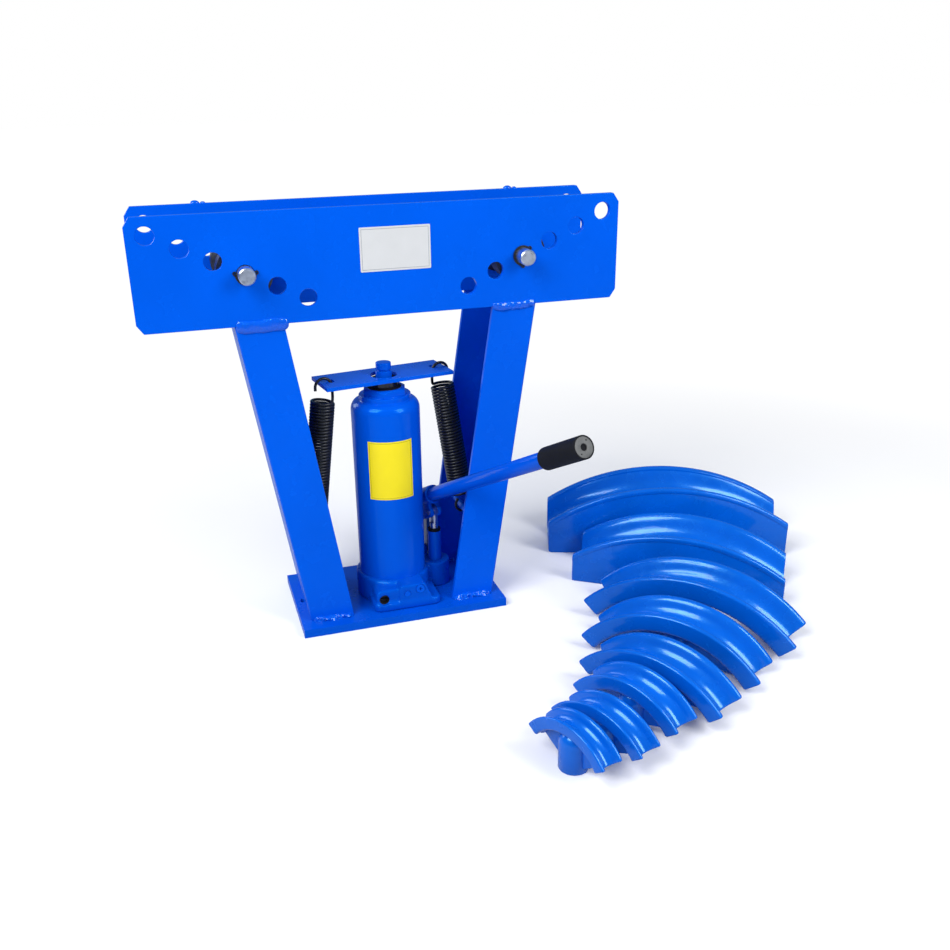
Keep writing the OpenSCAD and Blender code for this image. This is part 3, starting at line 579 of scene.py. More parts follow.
class BENDER_OT_finishes(bpy.types.Operator):
    """Mix the paints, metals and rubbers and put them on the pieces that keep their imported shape"""
    bl_idname = "bender.finishes"
    bl_label = "Finishes"

    def execute(self, context):
        k = looks()
        paint, rough, die_paint = tuple(k.paint), k.paint_roughness, tuple(k.die_paint)
        FINISH["paint"] = gloss_paint("frame_paint", paint, rough)
        FINISH["jack_paint"] = gloss_paint("jack_paint", shade(paint, 0.94), rough * 0.85, 0.04)
        # The base plate's paint is the frame paint made darker: painted shade on the base plate.
        FINISH["base_paint"] = gloss_paint("base_paint", shade(paint, 0.84), rough, 0.05)
        # The jack base's paint is rougher, and darker than the frame paint as painted shade on the cast base.
        FINISH["rough_paint"] = gloss_paint("cast_base_paint", shade(paint, 0.78), rough * 1.2, 0.08, 0.12)
        FINISH["weld_paint"] = gloss_paint("weld_paint", shade(paint, 0.95), rough * 0.55, 0.06,
                                           runs=0.8, run_scale=170, coat=1.0)
        FINISH["die"] = cast_paint("die_paint", die_paint, rough, 0.07)
        FINISH["die_skin"] = cast_paint("die_skin_paint", die_paint, rough, 0.32)
        FINISH["zinc"] = bright_zinc("bright_zinc", (0.74, 0.75, 0.77), (30, 1500, 30))
        FINISH["rod"] = bright_zinc("ground_rod", (0.66, 0.67, 0.69), (20, 20, 1800))
        FINISH["bare"] = dark_steel("bare_steel", (0.36, 0.36, 0.37), 0.42, 1.0, (900, 900, 40))
        FINISH["roller"] = dark_steel("roller_steel", (0.06, 0.061, 0.066), 0.4, 0.9, (40, 1600, 40))
        FINISH["black"] = dark_steel("black_steel", (0.008, 0.008, 0.009), 0.34, 0.0, (300, 300, 300))
        FINISH["rubber"] = soft_rubber("black_rubber", (0.006, 0.006, 0.0075))
        FINISH["plug"] = dark_steel("end_plug", (0.1, 0.1, 0.095), 0.5, 0.3, (700, 700, 700))
        FINISH["ram"] = dark_steel("ram_steel", (0.05, 0.05, 0.056), 0.2, 0.8, (20, 20, 1800))
        keep = {
            "paint": ("left_spring_rod", "right_spring_rod"),
            "jack_paint": ("pump_cylinder", "relief_screw", "oil_plug"),
            "zinc": ("left_pin", "right_pin", "plunger_pin", "fulcrum_pin", "link_pin"),
            "rod": ("pump_plunger",),
            "ram": ("ram",),
            "bare": ("fulcrum_link", "pressure_cylinder"),
            "roller": ("left_roller", "right_roller"),
            "black": ("left_front_clip", "left_rear_clip", "right_front_clip", "right_rear_clip",
                      "release_valve"),
            "rubber": ("wiper_ring", "piston_seal", "filler_plug", "pump_gland"),
        }
        for finish, names in keep.items():
            for name in names:
                NODES[name].data.materials.clear()
                NODES[name].data.materials.append(FINISH[finish])
        return {"FINISHED"}


class BENDER_OT_frame_plates(bpy.types.Operator):
    """Cut the base plate, beam plates, legs and cross plate with rounded edges and folds"""
    bl_idname = "bender.frame_plates"
    bl_label = "Frame plates"

    corner_x, corner_z = 9 * MM, 13 * MM
    hole_r, holes_each = 12.75 * MM, 6
    hole_in, hole_down = 26.5 * MM, 25.5 * MM
    step_x, step_z = 42.7 * MM, 19.6 * MM
    ram_hole_r, ram_hole_deep = 21.2 * MM, 100 * MM
    fold_tall, fold_out = 400 * MM, 120 * MM

    def hand_over(self, obj, node, ending, body="frame", finish="paint"):
        """Rounds the edges of a plate, levels its shading and lets it stand for its node."""
        bevel(obj, sizes().edge, 2)
        smooth(obj)
        level(obj)
        settle(obj, node + ending, body, FINISH[finish], "blue_paint", node)

    def execute(self, context):
        self.hand_over(node_copy("base_plate"), "base_plate", "_cut", finish="base_paint")
        cross = node_copy("cross_plate")
        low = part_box("cross_plate")[0].z
        cut_by(cross, cylinder(self.ram_hole_r, self.ram_hole_deep, (0, 0, low), sides=72))
        self.hand_over(cross, "cross_plate", "_cut", "ram")
        for node in ("left_leg", "right_leg"):
            self.leg(node)
        for node in ("front_beam", "rear_beam"):
            self.beam(node)
        return {"FINISHED"}

    def leg(self, node):
        """A channel whose two outer folds are round."""
        obj = node_copy(node)
        lo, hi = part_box(node)
        deep = 0.5 * (hi.y - lo.y)

        def fold(a, b):
            rises = abs(a.z - b.z) > self.fold_tall
            outside = abs(abs(a.y) - deep) < 1e-5 and abs(abs(b.y) - deep) < 1e-5
            low = a if a.z < b.z else b
            return rises and outside and abs(low.x) > self.fold_out
        pick_edges(obj, fold)
        bpy.ops.mesh.bevel(offset=sizes().fold, segments=5, affect="EDGES")
        done()
        self.hand_over(obj, node, "_folded")

    def beam(self, node):
        """A plate with cut corners and two slanting rows of pin holes."""
        lo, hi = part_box(node)
        mid, size = (lo + hi) / 2, hi - lo
        only()
        bpy.ops.mesh.primitive_cube_add(size=1, location=mid)
        plate = bpy.context.object
        plate.scale = size
        place_in_mesh()
        for sx in (-1, 1):
            for sz in (-1, 1):
                at = mid + Vector((sx * (size.x / 2 - self.corner_x), 0, sz * size.z / 2))
                trim(plate, at, (sx * self.corner_z, 0, sz * self.corner_x))
        holes = []
        for side in (-1, 1):
            for i in range(self.holes_each):
                x = hi.x - self.hole_in - i * self.step_x
                z = hi.z - self.hole_down - i * self.step_z
                holes.append(cylinder(self.hole_r, 4 * size.y, (side * x, mid.y, z), (math.pi / 2, 0, 0), 56))
        cut_by(plate, joined(holes))
        self.hand_over(plate, node, "_cut")


class BENDER_OT_welds(bpy.types.Operator):
    """Lay rippled weld beads along the feet and heads of the legs, and two bumps on the rear plate"""
    bl_idname = "bender.welds"
    bl_label = "Weld beads"

    foot_in, foot_out, head_in, head_out = 84 * MM, 154 * MM, 156 * MM, 228 * MM
    foot_bead = dict(deep=5.6 * MM, high=6 * MM, ripple=0.3, wander=1.1 * MM)
    inner_bead = dict(deep=5 * MM, high=5.4 * MM, ripple=0.3, wander=1.1 * MM)
    left_bead = dict(deep=3.3 * MM, high=9.5 * MM, blunt=1.6, ripple=0.04)
    right_bead = dict(deep=2.7 * MM, high=6.4 * MM, blunt=1.3, ripple=0.11, wander=1.2 * MM)
    inner_back, left_drop = 8 * MM, 0.5 * MM
    drops_at, drop_wide, second_at, second_wide = (-257.76 * MM, 231.84 * MM), 14 * MM, 11.5 * MM, 8 * MM
    first_seed, cut_every = 11, 0.7 * MM

    def bead(self, x0, x1, y, z, seed, deep, high, blunt=1.0, ripple=0.1, wander=0.9 * MM):
        """One bead along X: a round bar, subdivided, swollen and rippled, with round ends."""
        rng = random.Random(seed)
        length = x1 - x0
        obj = cylinder(1, length, ((x0 + x1) / 2, y, z), (0, math.pi / 2, 0), 18, "TRIFAN")
        place_in_mesh()
        pick_edges(obj, lambda a, b: abs(a.x - b.x) > 0.9 * length)
        bpy.ops.mesh.subdivide(number_cuts=max(12, int(length / self.cut_every)))
        done()
        phase = [rng.uniform(0, 6.28) for _ in range(6)]
        for v in obj.data.vertices:
            t = (v.co.x - x0) / length
            end = max(0.0, 1 - (abs(2 * t - 1)) ** (7 * blunt)) ** 0.5
            s = v.co.x / MM
            dy, dz = v.co.y - y, v.co.z - z
            swell = 1 + 0.1 * math.sin(s / 9 + phase[0]) + 0.08 * math.sin(s / 4.1 + phase[1] + 1.5 * dz)
            swell += ripple * abs(math.sin(s / 2.9 + phase[2] + 0.9 * dz))
            swell += 0.6 * ripple * math.sin(s / 1.7 + phase[3] - 2 * dz)
            swell += ripple * math.sin(5 * dz + s / 6 + phase[5])
            v.co.y = y + dy * deep * swell * end
            v.co.z = z + dz * high * (1 + 0.5 * (swell - 1)) * end + wander * math.sin(s / 13 + phase[4])
        return obj

    def drop(self, x, y, z, wide, high, thick):
        """A softened drop of weld on the top edge of a plate."""
        only()
        bpy.ops.mesh.primitive_uv_sphere_add(segments=28, ring_count=14, radius=1, location=(x, y, z),
                                             scale=(wide / 2, thick / 2, high))
        obj = bpy.context.object
        place_in_mesh()
        trim(obj, (x, y, z - 1 * MM), (0, 0, -1))
        return obj

    def execute(self, context):
        base_top, beam_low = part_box("base_plate")[1].z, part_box("front_beam")[0].z
        face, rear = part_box("front_beam")[0].y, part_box("rear_beam")[1].y
        beads, seed = [], self.first_seed
        for side in (-1, 1):
            for y in (face, rear):
                seed += 1
                a, b = sorted((side * (self.foot_in + 1 * MM), side * (self.foot_out - 3 * MM)))
                beads.append(self.bead(a, b, y, base_top, seed, **self.foot_bead))
                seed += 1
                if side < 0:
                    a, b = -self.head_out + 2 * MM, -self.head_in + 5 * MM
                    beads.append(self.bead(a, b, y, beam_low - self.left_drop, seed, **self.left_bead))
                else:
                    a, b = self.head_in + 1 * MM, self.head_out - 2 * MM
                    beads.append(self.bead(a, b, y, beam_low, seed, **self.right_bead))
            seed += 1
            a, b = sorted((side * (self.foot_in + 4 * MM), side * (self.foot_out - 12 * MM)))
            beads.append(self.bead(a, b, rear - self.inner_back, base_top, seed, **self.inner_bead))
        lo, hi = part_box("rear_beam")
        middle, thick = (lo.y + hi.y) / 2, hi.y - lo.y
        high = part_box("weld_beads")[1].z - hi.z
        for x in self.drops_at:
            beads.append(self.drop(x, middle, hi.z, self.drop_wide, high, thick))
            beads.append(self.drop(x + self.second_at, middle, hi.z, self.second_wide, 0.55 * high,
                                   0.8 * thick))
        obj = joined(beads)
        outward(obj)
        smooth(obj, 60)
        settle(obj, "weld_beads_laid", "frame", FINISH["weld_paint"], "blue_paint", "weld_beads")
        return {"FINISHED"}


class BENDER_OT_jack(bpy.types.Operator):
    """Turn the jack's tube with its shoulder, soften the castings and the nut"""
    bl_idname = "bender.jack"
    bl_label = "Jack"

    wall, neck_r, mouth_r = 4 * MM, 41.5 * MM, 36.05 * MM
    neck_h, shoulder_h, knee_h = 8 * MM, 17 * MM, 2 * MM
    neck_edge, neck_fillet, nut_edge = 0.8 * MM, 1.2 * MM, 0.7 * MM
    nose_drop, nose_h, groove_h = 2.5 * MM, 11 * MM, 2.2 * MM
    core_r, stud_r, head_r, foot_r, groove_r = 0.25 * MM, 8 * MM, 12.2 * MM, 13.1 * MM, 10 * MM
    grease_r, grease_low, grease_top, grease_gap = 21 * MM, 0.05 * MM, 0.7 * MM, 0.1 * MM
    base_voxel, crisp_rim, crisp_deep = 1.2 * MM, 3 * MM, 30 * MM
    soft_from, soft_over, soft_levels = -15 * MM, 25 * MM, 5
    liner_in, liner_end, liner_wall, liner_fit = 6.5 * MM, 0.5 * MM, 0.5 * MM, 0.05 * MM

    def execute(self, context):
        self.tube()
        self.base()
        self.nose()
        nut = node_copy("gland_nut")
        bevel(nut, self.nut_edge, 2)
        smooth(nut)
        settle(nut, "gland_nut_cut", "frame", FINISH["jack_paint"], "blue_paint", "gland_nut")
        return {"FINISHED"}

    def tube(self):
        """The oil tube: a straight shell with a round shoulder up to its neck."""
        lo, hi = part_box("oil_tube")
        r, neck = (hi.x - lo.x) / 2, self.neck_r
        neck_z = hi.z - self.neck_h
        knee = neck_z - self.shoulder_h
        rim = [(self.mouth_r, hi.z), (neck - self.neck_edge, hi.z), (neck, hi.z - self.neck_edge),
               (neck, neck_z + self.neck_fillet)]
        start = neck + self.neck_fillet
        shoulder = [(start + (r - start) * math.sin(a), knee + (neck_z - knee) * math.cos(a))
                    for a in spaced(0, math.pi / 2, 12)]
        inside = [(r - self.wall, lo.z), (r - self.wall, knee - self.knee_h),
                  (neck - self.wall, neck_z - self.wall), (self.mouth_r, neck_z - self.wall)]
        tube = lathed(rim + shoulder + [(r, lo.z)] + inside, 128, "tube")
        smooth(tube, 30)
        settle(tube, "oil_tube_turned", "frame", FINISH["jack_paint"], "blue_paint", "oil_tube")

    def nose(self):
        """The ram's nose: a low round head over a thin groove, on a wider foot with its stud below, and a
        black ring as painted shade in the plate's hole round that foot.
        """
        lo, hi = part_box("ram_head")
        top = hi.z - self.nose_drop
        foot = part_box("cross_plate")[0].z
        under = top - self.nose_h
        step = under - self.groove_h
        ring = rounded([(self.core_r, lo.z), (self.stud_r, lo.z, 1 * MM), (self.stud_r, foot),
                        (self.foot_r, foot), (self.foot_r, step, 1 * MM),
                        (self.groove_r, step), (self.groove_r, under),
                        (self.head_r, under, 0.6 * MM), (self.head_r, top, 1.3 * MM), (self.core_r, top)], 4)
        nose = lathed(ring, 64, "nose")
        smooth(nose, 35)
        settle(nose, "ram_head_turned", "ram", FINISH["jack_paint"], "blue_paint", "ram_head")
        # A thin black ring on the ram's top inside the plate's hole: painted shade in the gap round the
        # nose's foot.
        inner, low, high = self.foot_r + self.grease_gap, foot + self.grease_low, foot + self.grease_top
        seat = lathed([(inner, low), (self.grease_r, low), (self.grease_r, high), (inner, high)], 64, "seat")
        smooth(seat, 35)
        settle(seat, "ram_seat_greased", "ram", FINISH["rubber"], "black_rubber")

    def base(self):
        """The cast base: soft all over, softest across its front, crisp round the valve, screw and plug, with
        a black sleeve in the valve's bore as painted shade.
        """
        base = cast_copy("jack_base", self.base_voxel, 4)
        holes = [(*(sum(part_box(n), Vector()) / 2), (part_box(n)[1].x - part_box(n)[0].x) / 2)
                 for n in ("release_valve", "relief_screw", "oil_plug")]
        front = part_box("jack_base")[0].y
        levels = {}
        for v in base.data.vertices:
            near = any(math.hypot(v.co.x - x, v.co.z - z) < r + self.crisp_rim for x, _, z, r in holes)
            if near and v.co.y < front + self.crisp_deep:
                continue
            share = min(1, max(0, (self.soft_from - v.co.y) / self.soft_over))
            levels.setdefault(round(self.soft_levels * share) / self.soft_levels, []).append(v.index)
        group = base.vertex_groups.new(name="soft_front")
        for weight, found in levels.items():
            group.add(found, weight, "REPLACE")
        modifier(base, "SMOOTH", factor=0.5, iterations=40, vertex_group="soft_front")
        base.vertex_groups.clear()
        # The cast base takes the darker paint, which is painted shade.
        settle(base, "jack_base_cast", "frame", FINISH["rough_paint"], "blue_paint", "jack_base")
        # A thin black sleeve lines the valve's bore: painted shade inside the recess.
        x, _, z, r = holes[0]
        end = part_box("release_valve")[0].y - front - self.liner_end
        inner, outer = r - self.liner_wall, r + self.liner_fit
        ring = rounded([(inner, self.liner_in, 0.2 * MM), (outer, self.liner_in), (outer, end), (inner, end)])
        liner = spun([Vector((x + q.x, front + q.y, z)) for q in ring], (0, 1, 0), (x, front, z),
                     2 * math.pi, 48, "liner")
        smooth(liner, 35)
        settle(liner, "valve_recess_greased", "frame", FINISH["black"], "black_steel")


class BENDER_OT_springs(bpy.types.Operator):
    """Wind the two return springs with their loops and hooks"""
    bl_idname = "bender.springs"
    bl_label = "Return springs"

    hook_r, loop_r, hole_in, hole_at = 13.5 * MM, 12 * MM, 13.5 * MM, 106 * MM
    plate_yaw, plate_back, rest, stiff = math.radians(8.6), 6 * MM, 0.6 * MM, 12 * MM
    coil_low, coil_high, rod_gap, per_turn = 20 * MM, 22 * MM, 0.5 * MM, 22

    def path(self, side):
        """Points along one spring's wire, from its lower loop to its hook, and the middles of both."""
        s = sizes()
        along, up = Vector((math.cos(self.plate_yaw), math.sin(self.plate_yaw), 0)), Vector((0, 0, 1))
        wire = 2 * s.wire
        plate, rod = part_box("cross_plate"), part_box("right_spring_rod")
        bite = math.sqrt((self.hook_r - wire / 2) ** 2 - self.hole_in ** 2 / 4)
        hook_z = plate[1].z + self.rest - bite
        low = Vector((side * (rod[0].x + rod[1].x) / 2, 0, rod[0].z - self.rod_gap + self.loop_r - wire / 2))
        high = Vector((0, self.plate_back, hook_z)) + side * (self.hole_at - self.hole_in / 2) * along
        w = (high - low).normalized()
        p0, p1 = low + self.coil_low * w, high - self.coil_high * w
        u = side * (Vector((1, 0, 0)) - w.x * w).normalized()
        v = w.cross(u)
        turns = s.curls + 0.5
        first, count = 1 / 8, int((s.curls + 0.25) * self.per_turn)

        def coil(q):
            a = 2 * math.pi * q
            return p0 + (p1 - p0) * (q / turns) + s.coil * (math.cos(a) * u + math.sin(a) * v)

        def heading(q):
            return (coil(q + 0.01) - coil(q - 0.01)).normalized()

        def ease(a, b, c, d, n=10):
            return [(1 - t) ** 3 * a + 3 * (1 - t) ** 2 * t * b + 3 * (1 - t) * t * t * c + t ** 3 * d
                    for t in (i / n for i in range(1, n))]
        winding = [coil(first + i / self.per_turn) for i in range(count + 1)]
        loop = [low + self.loop_r * Vector((side * math.cos(a), 0, math.sin(a)))
                for a in map(math.radians, spaced(150, 360, 26))]
        hook = [high + self.hook_r * (math.sin(a) * up - side * math.cos(a) * along)
                for a in spaced(0, math.pi, 20)]
        lead = loop[0] - wire * (loop[1] - loop[0]).normalized()
        tail = hook[-1] - wire * up
        start, end = winding[0], winding[-1]
        into = ease(loop[-1], loop[-1] + 7 * MM * up, start - 7 * MM * heading(first), start)
        last = first + count / self.per_turn
        away = ease(end, end + 7 * MM * heading(last), hook[0] - 6 * MM * up, hook[0])
        return [lead] + loop + into + winding + away + hook + [tail], low, high

    def execute(self, context):
        for side, node in ((-1, "left_spring"), (1, "right_spring")):
            points, low, high = self.path(side)
            curve = bpy.data.curves.new(node + "_wire", "CURVE")
            curve.dimensions = "3D"
            curve.bevel_depth = sizes().wire
            curve.bevel_resolution = 3
            curve.use_fill_caps = True
            spline = curve.splines.new("POLY")
            spline.points.add(len(points) - 1)
            for q, p in zip(spline.points, points):
                q.co = (*p, 1)
            obj = bpy.data.objects.new(node + "_wound", curve)
            context.scene.collection.objects.link(obj)
            only(obj)
            bpy.ops.object.convert(target="MESH")
            obj = context.object
            outward(obj)
            smooth(obj, 50)
            obj.data.materials.clear()
            obj.data.materials.append(FINISH["black"])
            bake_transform(obj)
            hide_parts(node)
        return {"FINISHED"}


class BENDER_OT_pump(bpy.types.Operator):
    """Forge the handle socket and mould the grip"""
    bl_idname = "bender.pump"
    bl_label = "Pump and handle"

    socket_voxel, tube_edge = 0.7 * MM, 0.5 * MM
    grip_in, grip_foot, grip_end, grip_lip, seat_gap = 2 * MM, 1.4 * MM, 1.1 * MM, 0.4 * MM, 0.5 * MM
    plug_fit, plug_edge, plug_mouth = 0.05 * MM, 0.5 * MM, 0.7 * MM
    pin_r, pin_share = 1.1 * MM, 0.72
    core_h, core_rim, core_dip, core_back = 1.6 * MM, 1.4 * MM, 0.8 * MM, 1.9 * MM

    def execute(self, context):
        socket = cast_copy("handle_socket", self.socket_voxel, 3)
        settle(socket, "handle_socket_forged", "lever", FINISH["jack_paint"], "blue_paint", "handle_socket")
        ways = {j["name"]: Vector(j["axis"]).normalized() for j in frame["joints"]
                if j["name"] in ("handle_pull", "handle_pivot")}
        axis, side = ways["handle_pull"], ways["handle_pivot"]
        up = side.cross(axis)
        facing = axis.to_track_quat("Z", "Y").to_euler()

        def reach(node):
            """Start on the handle's axis, length, inner and outer radius of a round piece."""
            mid = sum(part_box(node), Vector()) / 2
            rel = [v.co - mid for v in NODES[node].data.vertices]
            far = [(v - v.dot(axis) * axis).length for v in rel]
            ends = [v.dot(axis) for v in rel]
            return mid + min(ends) * axis, max(ends) - min(ends), min(far), max(far)

        def turned(node, outline, name, finish, slot):
            obj = lathed(outline, 72, name)
            obj.matrix_world = axes(side, up, axis, reach(node)[0])
            smooth(obj)
            settle(obj, name, "handle", FINISH[finish], slot, node)
            outward(obj)
            return obj
        _, length, bore, outer = reach("handle_tube")
        edge = self.tube_edge
        ring = rounded([(bore, 0), (outer, 0, edge), (outer, length, edge), (bore, length)], 3)
        turned("handle_tube", ring, "handle_tube_drawn", "jack_paint", "blue_paint")
        _, length, _, outer = reach("handle_grip")
        start, deep, hole, cap = reach("handle_plug")
        seat, inner = length - deep - self.seat_gap, bore + self.grip_in
        ring = rounded([(inner, 0), (outer, 0, self.grip_foot), (outer, length, self.grip_end),
                        (cap, length, self.grip_lip), (cap, seat), (inner, seat)], 5)
        turned("handle_grip", ring, "handle_grip_moulded", "rubber", "black_rubber")
        snug = cap - self.plug_fit
        ring = rounded([(hole, 0), (snug, 0), (snug, deep, self.plug_edge), (hole, deep, self.plug_mouth)], 4)
        plug = turned("handle_plug", ring, "handle_plug_turned", "plug", "grey_plastic")
        out = self.pin_share * cap * (0.6 * side - 0.8 * up)
        pins = [cylinder(self.pin_r, 2 * deep, start + deep * axis + way * out, facing, 20)
                for way in (1, -1)]
        cut_by(plug, joined(pins))
        # A black rubber disc a little inside the plug's hole: painted shade in the hole.
        core = cylinder(hole - self.plug_fit, self.core_h, (0, 0, 0))
        pick_faces(core, lambda c, n: n.z > 0.9)
        bpy.ops.mesh.inset(thickness=self.core_rim)
        bpy.ops.mesh.extrude_region_move(TRANSFORM_OT_translate={"value": (0, 0, -self.core_dip)})
        done()
        core.rotation_euler = facing
        core.location = start + (deep - self.core_back) * axis
        smooth(core)
        settle(core, "handle_plug_core", "handle", FINISH["rubber"], "black_rubber")
        return {"FINISHED"}


class BENDER_OT_dies(bpy.types.Operator):
    """Cast the eight bending dies with their grooves, lips, walls, webs and socket bosses"""
    bl_idname = "bender.dies"
    bl_label = "Bending dies"

    flare, wall, dome_gap, play = 2 * MM, 8 * MM, 1.5 * MM, 0.5 * MM
    boss_r, socket_r, socket_deep = 20 * MM, 12.2 * MM, 30 * MM
    side_share, inlay, bead_h, step = 0.84, 2.5 * MM, 9 * MM, 0.8 * MM
    flat_tops = (130 * MM, 104 * MM)
    web_half, web_rise, web_in, first_web = 4 * MM, 8 * MM, 1.5 * MM, 3
    plate_in, foot_round, rim_round = 1.5 * MM, 5.5 * MM, 5 * MM
    cut_back, end_round, small_round = 0.3 * MM, 2.4 * MM, 1.2 * MM
    groove_lean = math.radians(20)

    def depth(self, k):
        """From the edge of the lips to the bottom of the groove."""
        return DIES[k].pipe / 2 + self.play + self.flare

    def section(self, k):
        """Ring round one die's lips, groove, sides and shell, as (distance from the arc's centre, across)."""
        r, half, lip = DIES[k].radius, DIES[k].width / 2, DIES[k].lip
        g, c, lean = DIES[k].pipe / 2 + self.play, r - self.flare, self.groove_lean
        out_r = g + self.wall
        low = r - self.side_share * (out_r + self.flare)
        reach = math.sqrt(out_r ** 2 - (c - low) ** 2)
        wrap = math.atan2(reach, c - low)
        shell = [Vector((c - out_r * math.cos(a), out_r * math.sin(a))) for a in spaced(-wrap, wrap, 20)]
        groove = [Vector((c - g * math.sin(a), g * math.cos(a))) for a in spaced(lean, math.pi - lean, 24)]
        brow = Vector((r, groove[0].y + (r - groove[0].x) * math.tan(lean)))
        crest = 0.42 * lip
        top = brow.lerp(Vector((r, half - crest)), 0.75)
        roll = [top.lerp(brow, t).lerp(brow.lerp(groove[0], t), t) for t in (i / 8 for i in range(8))]
        shoulder, hip = Vector((r, half)), Vector((low, half))
        if k < FLAT_DIES:
            foot, inside = Vector((r - self.bead_h, half)), Vector((r - self.bead_h, half - self.inlay))
            right = [Vector((low, half - self.inlay)), inside]
            right += corner_arc(inside, foot, shoulder, 1 * MM) + corner_arc(foot, shoulder, brow, crest)
        else:
            right = corner_arc(shell[-1], hip, shoulder, min(7 * MM, 0.5 * (half - reach)), 6)
            right += corner_arc(hip, shoulder, brow, crest, 5)
        right += roll
        return right + groove + [Vector((q.x, -q.y)) for q in reversed(right)] + shell

    def arch(self, k, top):
        """The groove with its lips along the die's arc; a flat die's ends are cut upright."""
        r, arc, flat = DIES[k].radius, DIES[k].arc, k < FLAT_DIES
        end, sweep = r * math.sin(arc), arc
        if flat:
            sweep = math.asin(min(1, end / (r - self.depth(k) - self.wall)))
        pts = []
        for p in self.section(k):
            q = Vector((p.x * math.sin(sweep), p.y, p.x * math.cos(sweep) + top - r))
            if not pts or (q - pts[-1]).length > 2e-5:
                pts.append(q)
        obj = spun(pts, (0, -1, 0), (0, 0, top - r), 2 * sweep, 96 if k < 4 else 60, "arch")
        if flat:
            short = end - self.cut_back
            for at, facing in (((short, 0, 0), (1, 0, 0)), ((-short, 0, 0), (-1, 0, 0)),
                               ((0, 0, self.cut_back), (0, 0, -1))):
                trim(obj, at, facing)
            rim = top - r + r * math.cos(arc) - self.bead_h + 1 * MM
            pick_edges(obj, lambda a, b: min(abs(a.x), abs(b.x)) > short - 1e-5 and min(a.z, b.z) > rim)
            bpy.ops.mesh.bevel(offset=self.end_round, segments=4, affect="EDGES", clamp_overlap=True)
            done()
        else:
            bevel(obj, min(sizes().cast_edge, 0.28 * DIES[k].lip), 3, 55, False)
        return obj

    def plate(self, k, top, y0, y1):
        """Upright side plate of a flat die, a little inside the bead of its lip, with soft corners."""
        full = DIES[k].radius
        r, x = full - self.plate_in, full * math.sin(DIES[k].arc)
        out = math.asin(x / r)
        rim = [(r * math.sin(a), top - full + r * math.cos(a)) for a in spaced(out, -out, 56)]
        ring = [(x, 0, self.foot_round), (*rim[0], self.rim_round), *rim[1:-1], (*rim[-1], self.rim_round),
                (-x, 0, self.foot_round)]
        obj = slab([Vector((p.x, y0, p.y)) for p in rounded(ring, 5)], (0, y1 - y0, 0), "plate")
        bevel(obj, sizes().cast_edge, 3, 50, False)
        return obj

    def web(self, k, top, foot):
        """Upright web under the arch, from one tip past the boss to the other."""
        r, span = DIES[k].radius, 0.97 * DIES[k].arc
        inner = r - self.depth(k) - self.wall + self.web_in
        pts = [(inner * math.sin(a), top - r + inner * math.cos(a)) for a in spaced(span, -span, 24)]
        x = self.boss_r - 1 * MM
        pts += [(-x, foot + self.web_rise), (x, foot + self.web_rise)]
        obj = slab([Vector((p, -self.web_half, z)) for p, z in pts], (0, 2 * self.web_half, 0), "web")
        bevel(obj, self.small_round, 2, 60)
        cut_by(obj, cylinder(self.socket_r + 0.3 * MM, 2 * self.socket_deep, (0, 0, foot)))
        return obj

    def boss(self, foot, crown):
        """Round boss with a domed head and a blind socket in its foot."""
        r, waist = self.boss_r, crown - self.boss_r
        only()
        bpy.ops.mesh.primitive_uv_sphere_add(segments=56, ring_count=28, radius=r, location=(0, 0, waist))
        obj = bpy.context.object
        place_in_mesh()
        trim(obj, (0, 0, waist), (0, 0, -1))
        pick_faces(obj, lambda c, n: n.z < -0.9)
        bpy.ops.mesh.extrude_region_move(TRANSFORM_OT_translate={"value": (0, 0, foot - waist)})
        bpy.ops.mesh.inset(thickness=r - self.socket_r)
        bpy.ops.mesh.extrude_region_move(TRANSFORM_OT_translate={"value": (0, 0, self.socket_deep)})
        done()
        outward(obj)
        bevel(obj, self.small_round, 2, 60)
        return obj

    def execute(self, context):
        for k, die in enumerate(DIES):
            node = f"die_{k + 1}"
            x, y, z = MOUNTS[node + "_socket"]["pos_m"]
            foot = z - self.socket_deep / 2
            top = self.flat_tops[k] if k < FLAT_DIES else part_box(node)[1].z
            parts = [self.arch(k, top)]
            if k < FLAT_DIES:
                outer, inner = die.width / 2 - self.step, die.width / 2 - die.lip - 2 * MM
                parts += [self.plate(k, top, -outer, -inner), self.plate(k, top, inner, outer)]
            if k >= self.first_web:
                parts.append(self.web(k, top, foot))
            parts.append(self.boss(foot, top - self.depth(k) - self.dome_gap))
            obj = joined(parts)
            smooth(obj, 38)
            obj.rotation_euler = (0, 0, die.turn)
            obj.location = (x, y, 0)
            finish = FINISH["die_skin" if k == ROUGH_DIE else "die"]
            settle(obj, node + "_cast", node, finish, "die_paint", node)
        return {"FINISHED"}


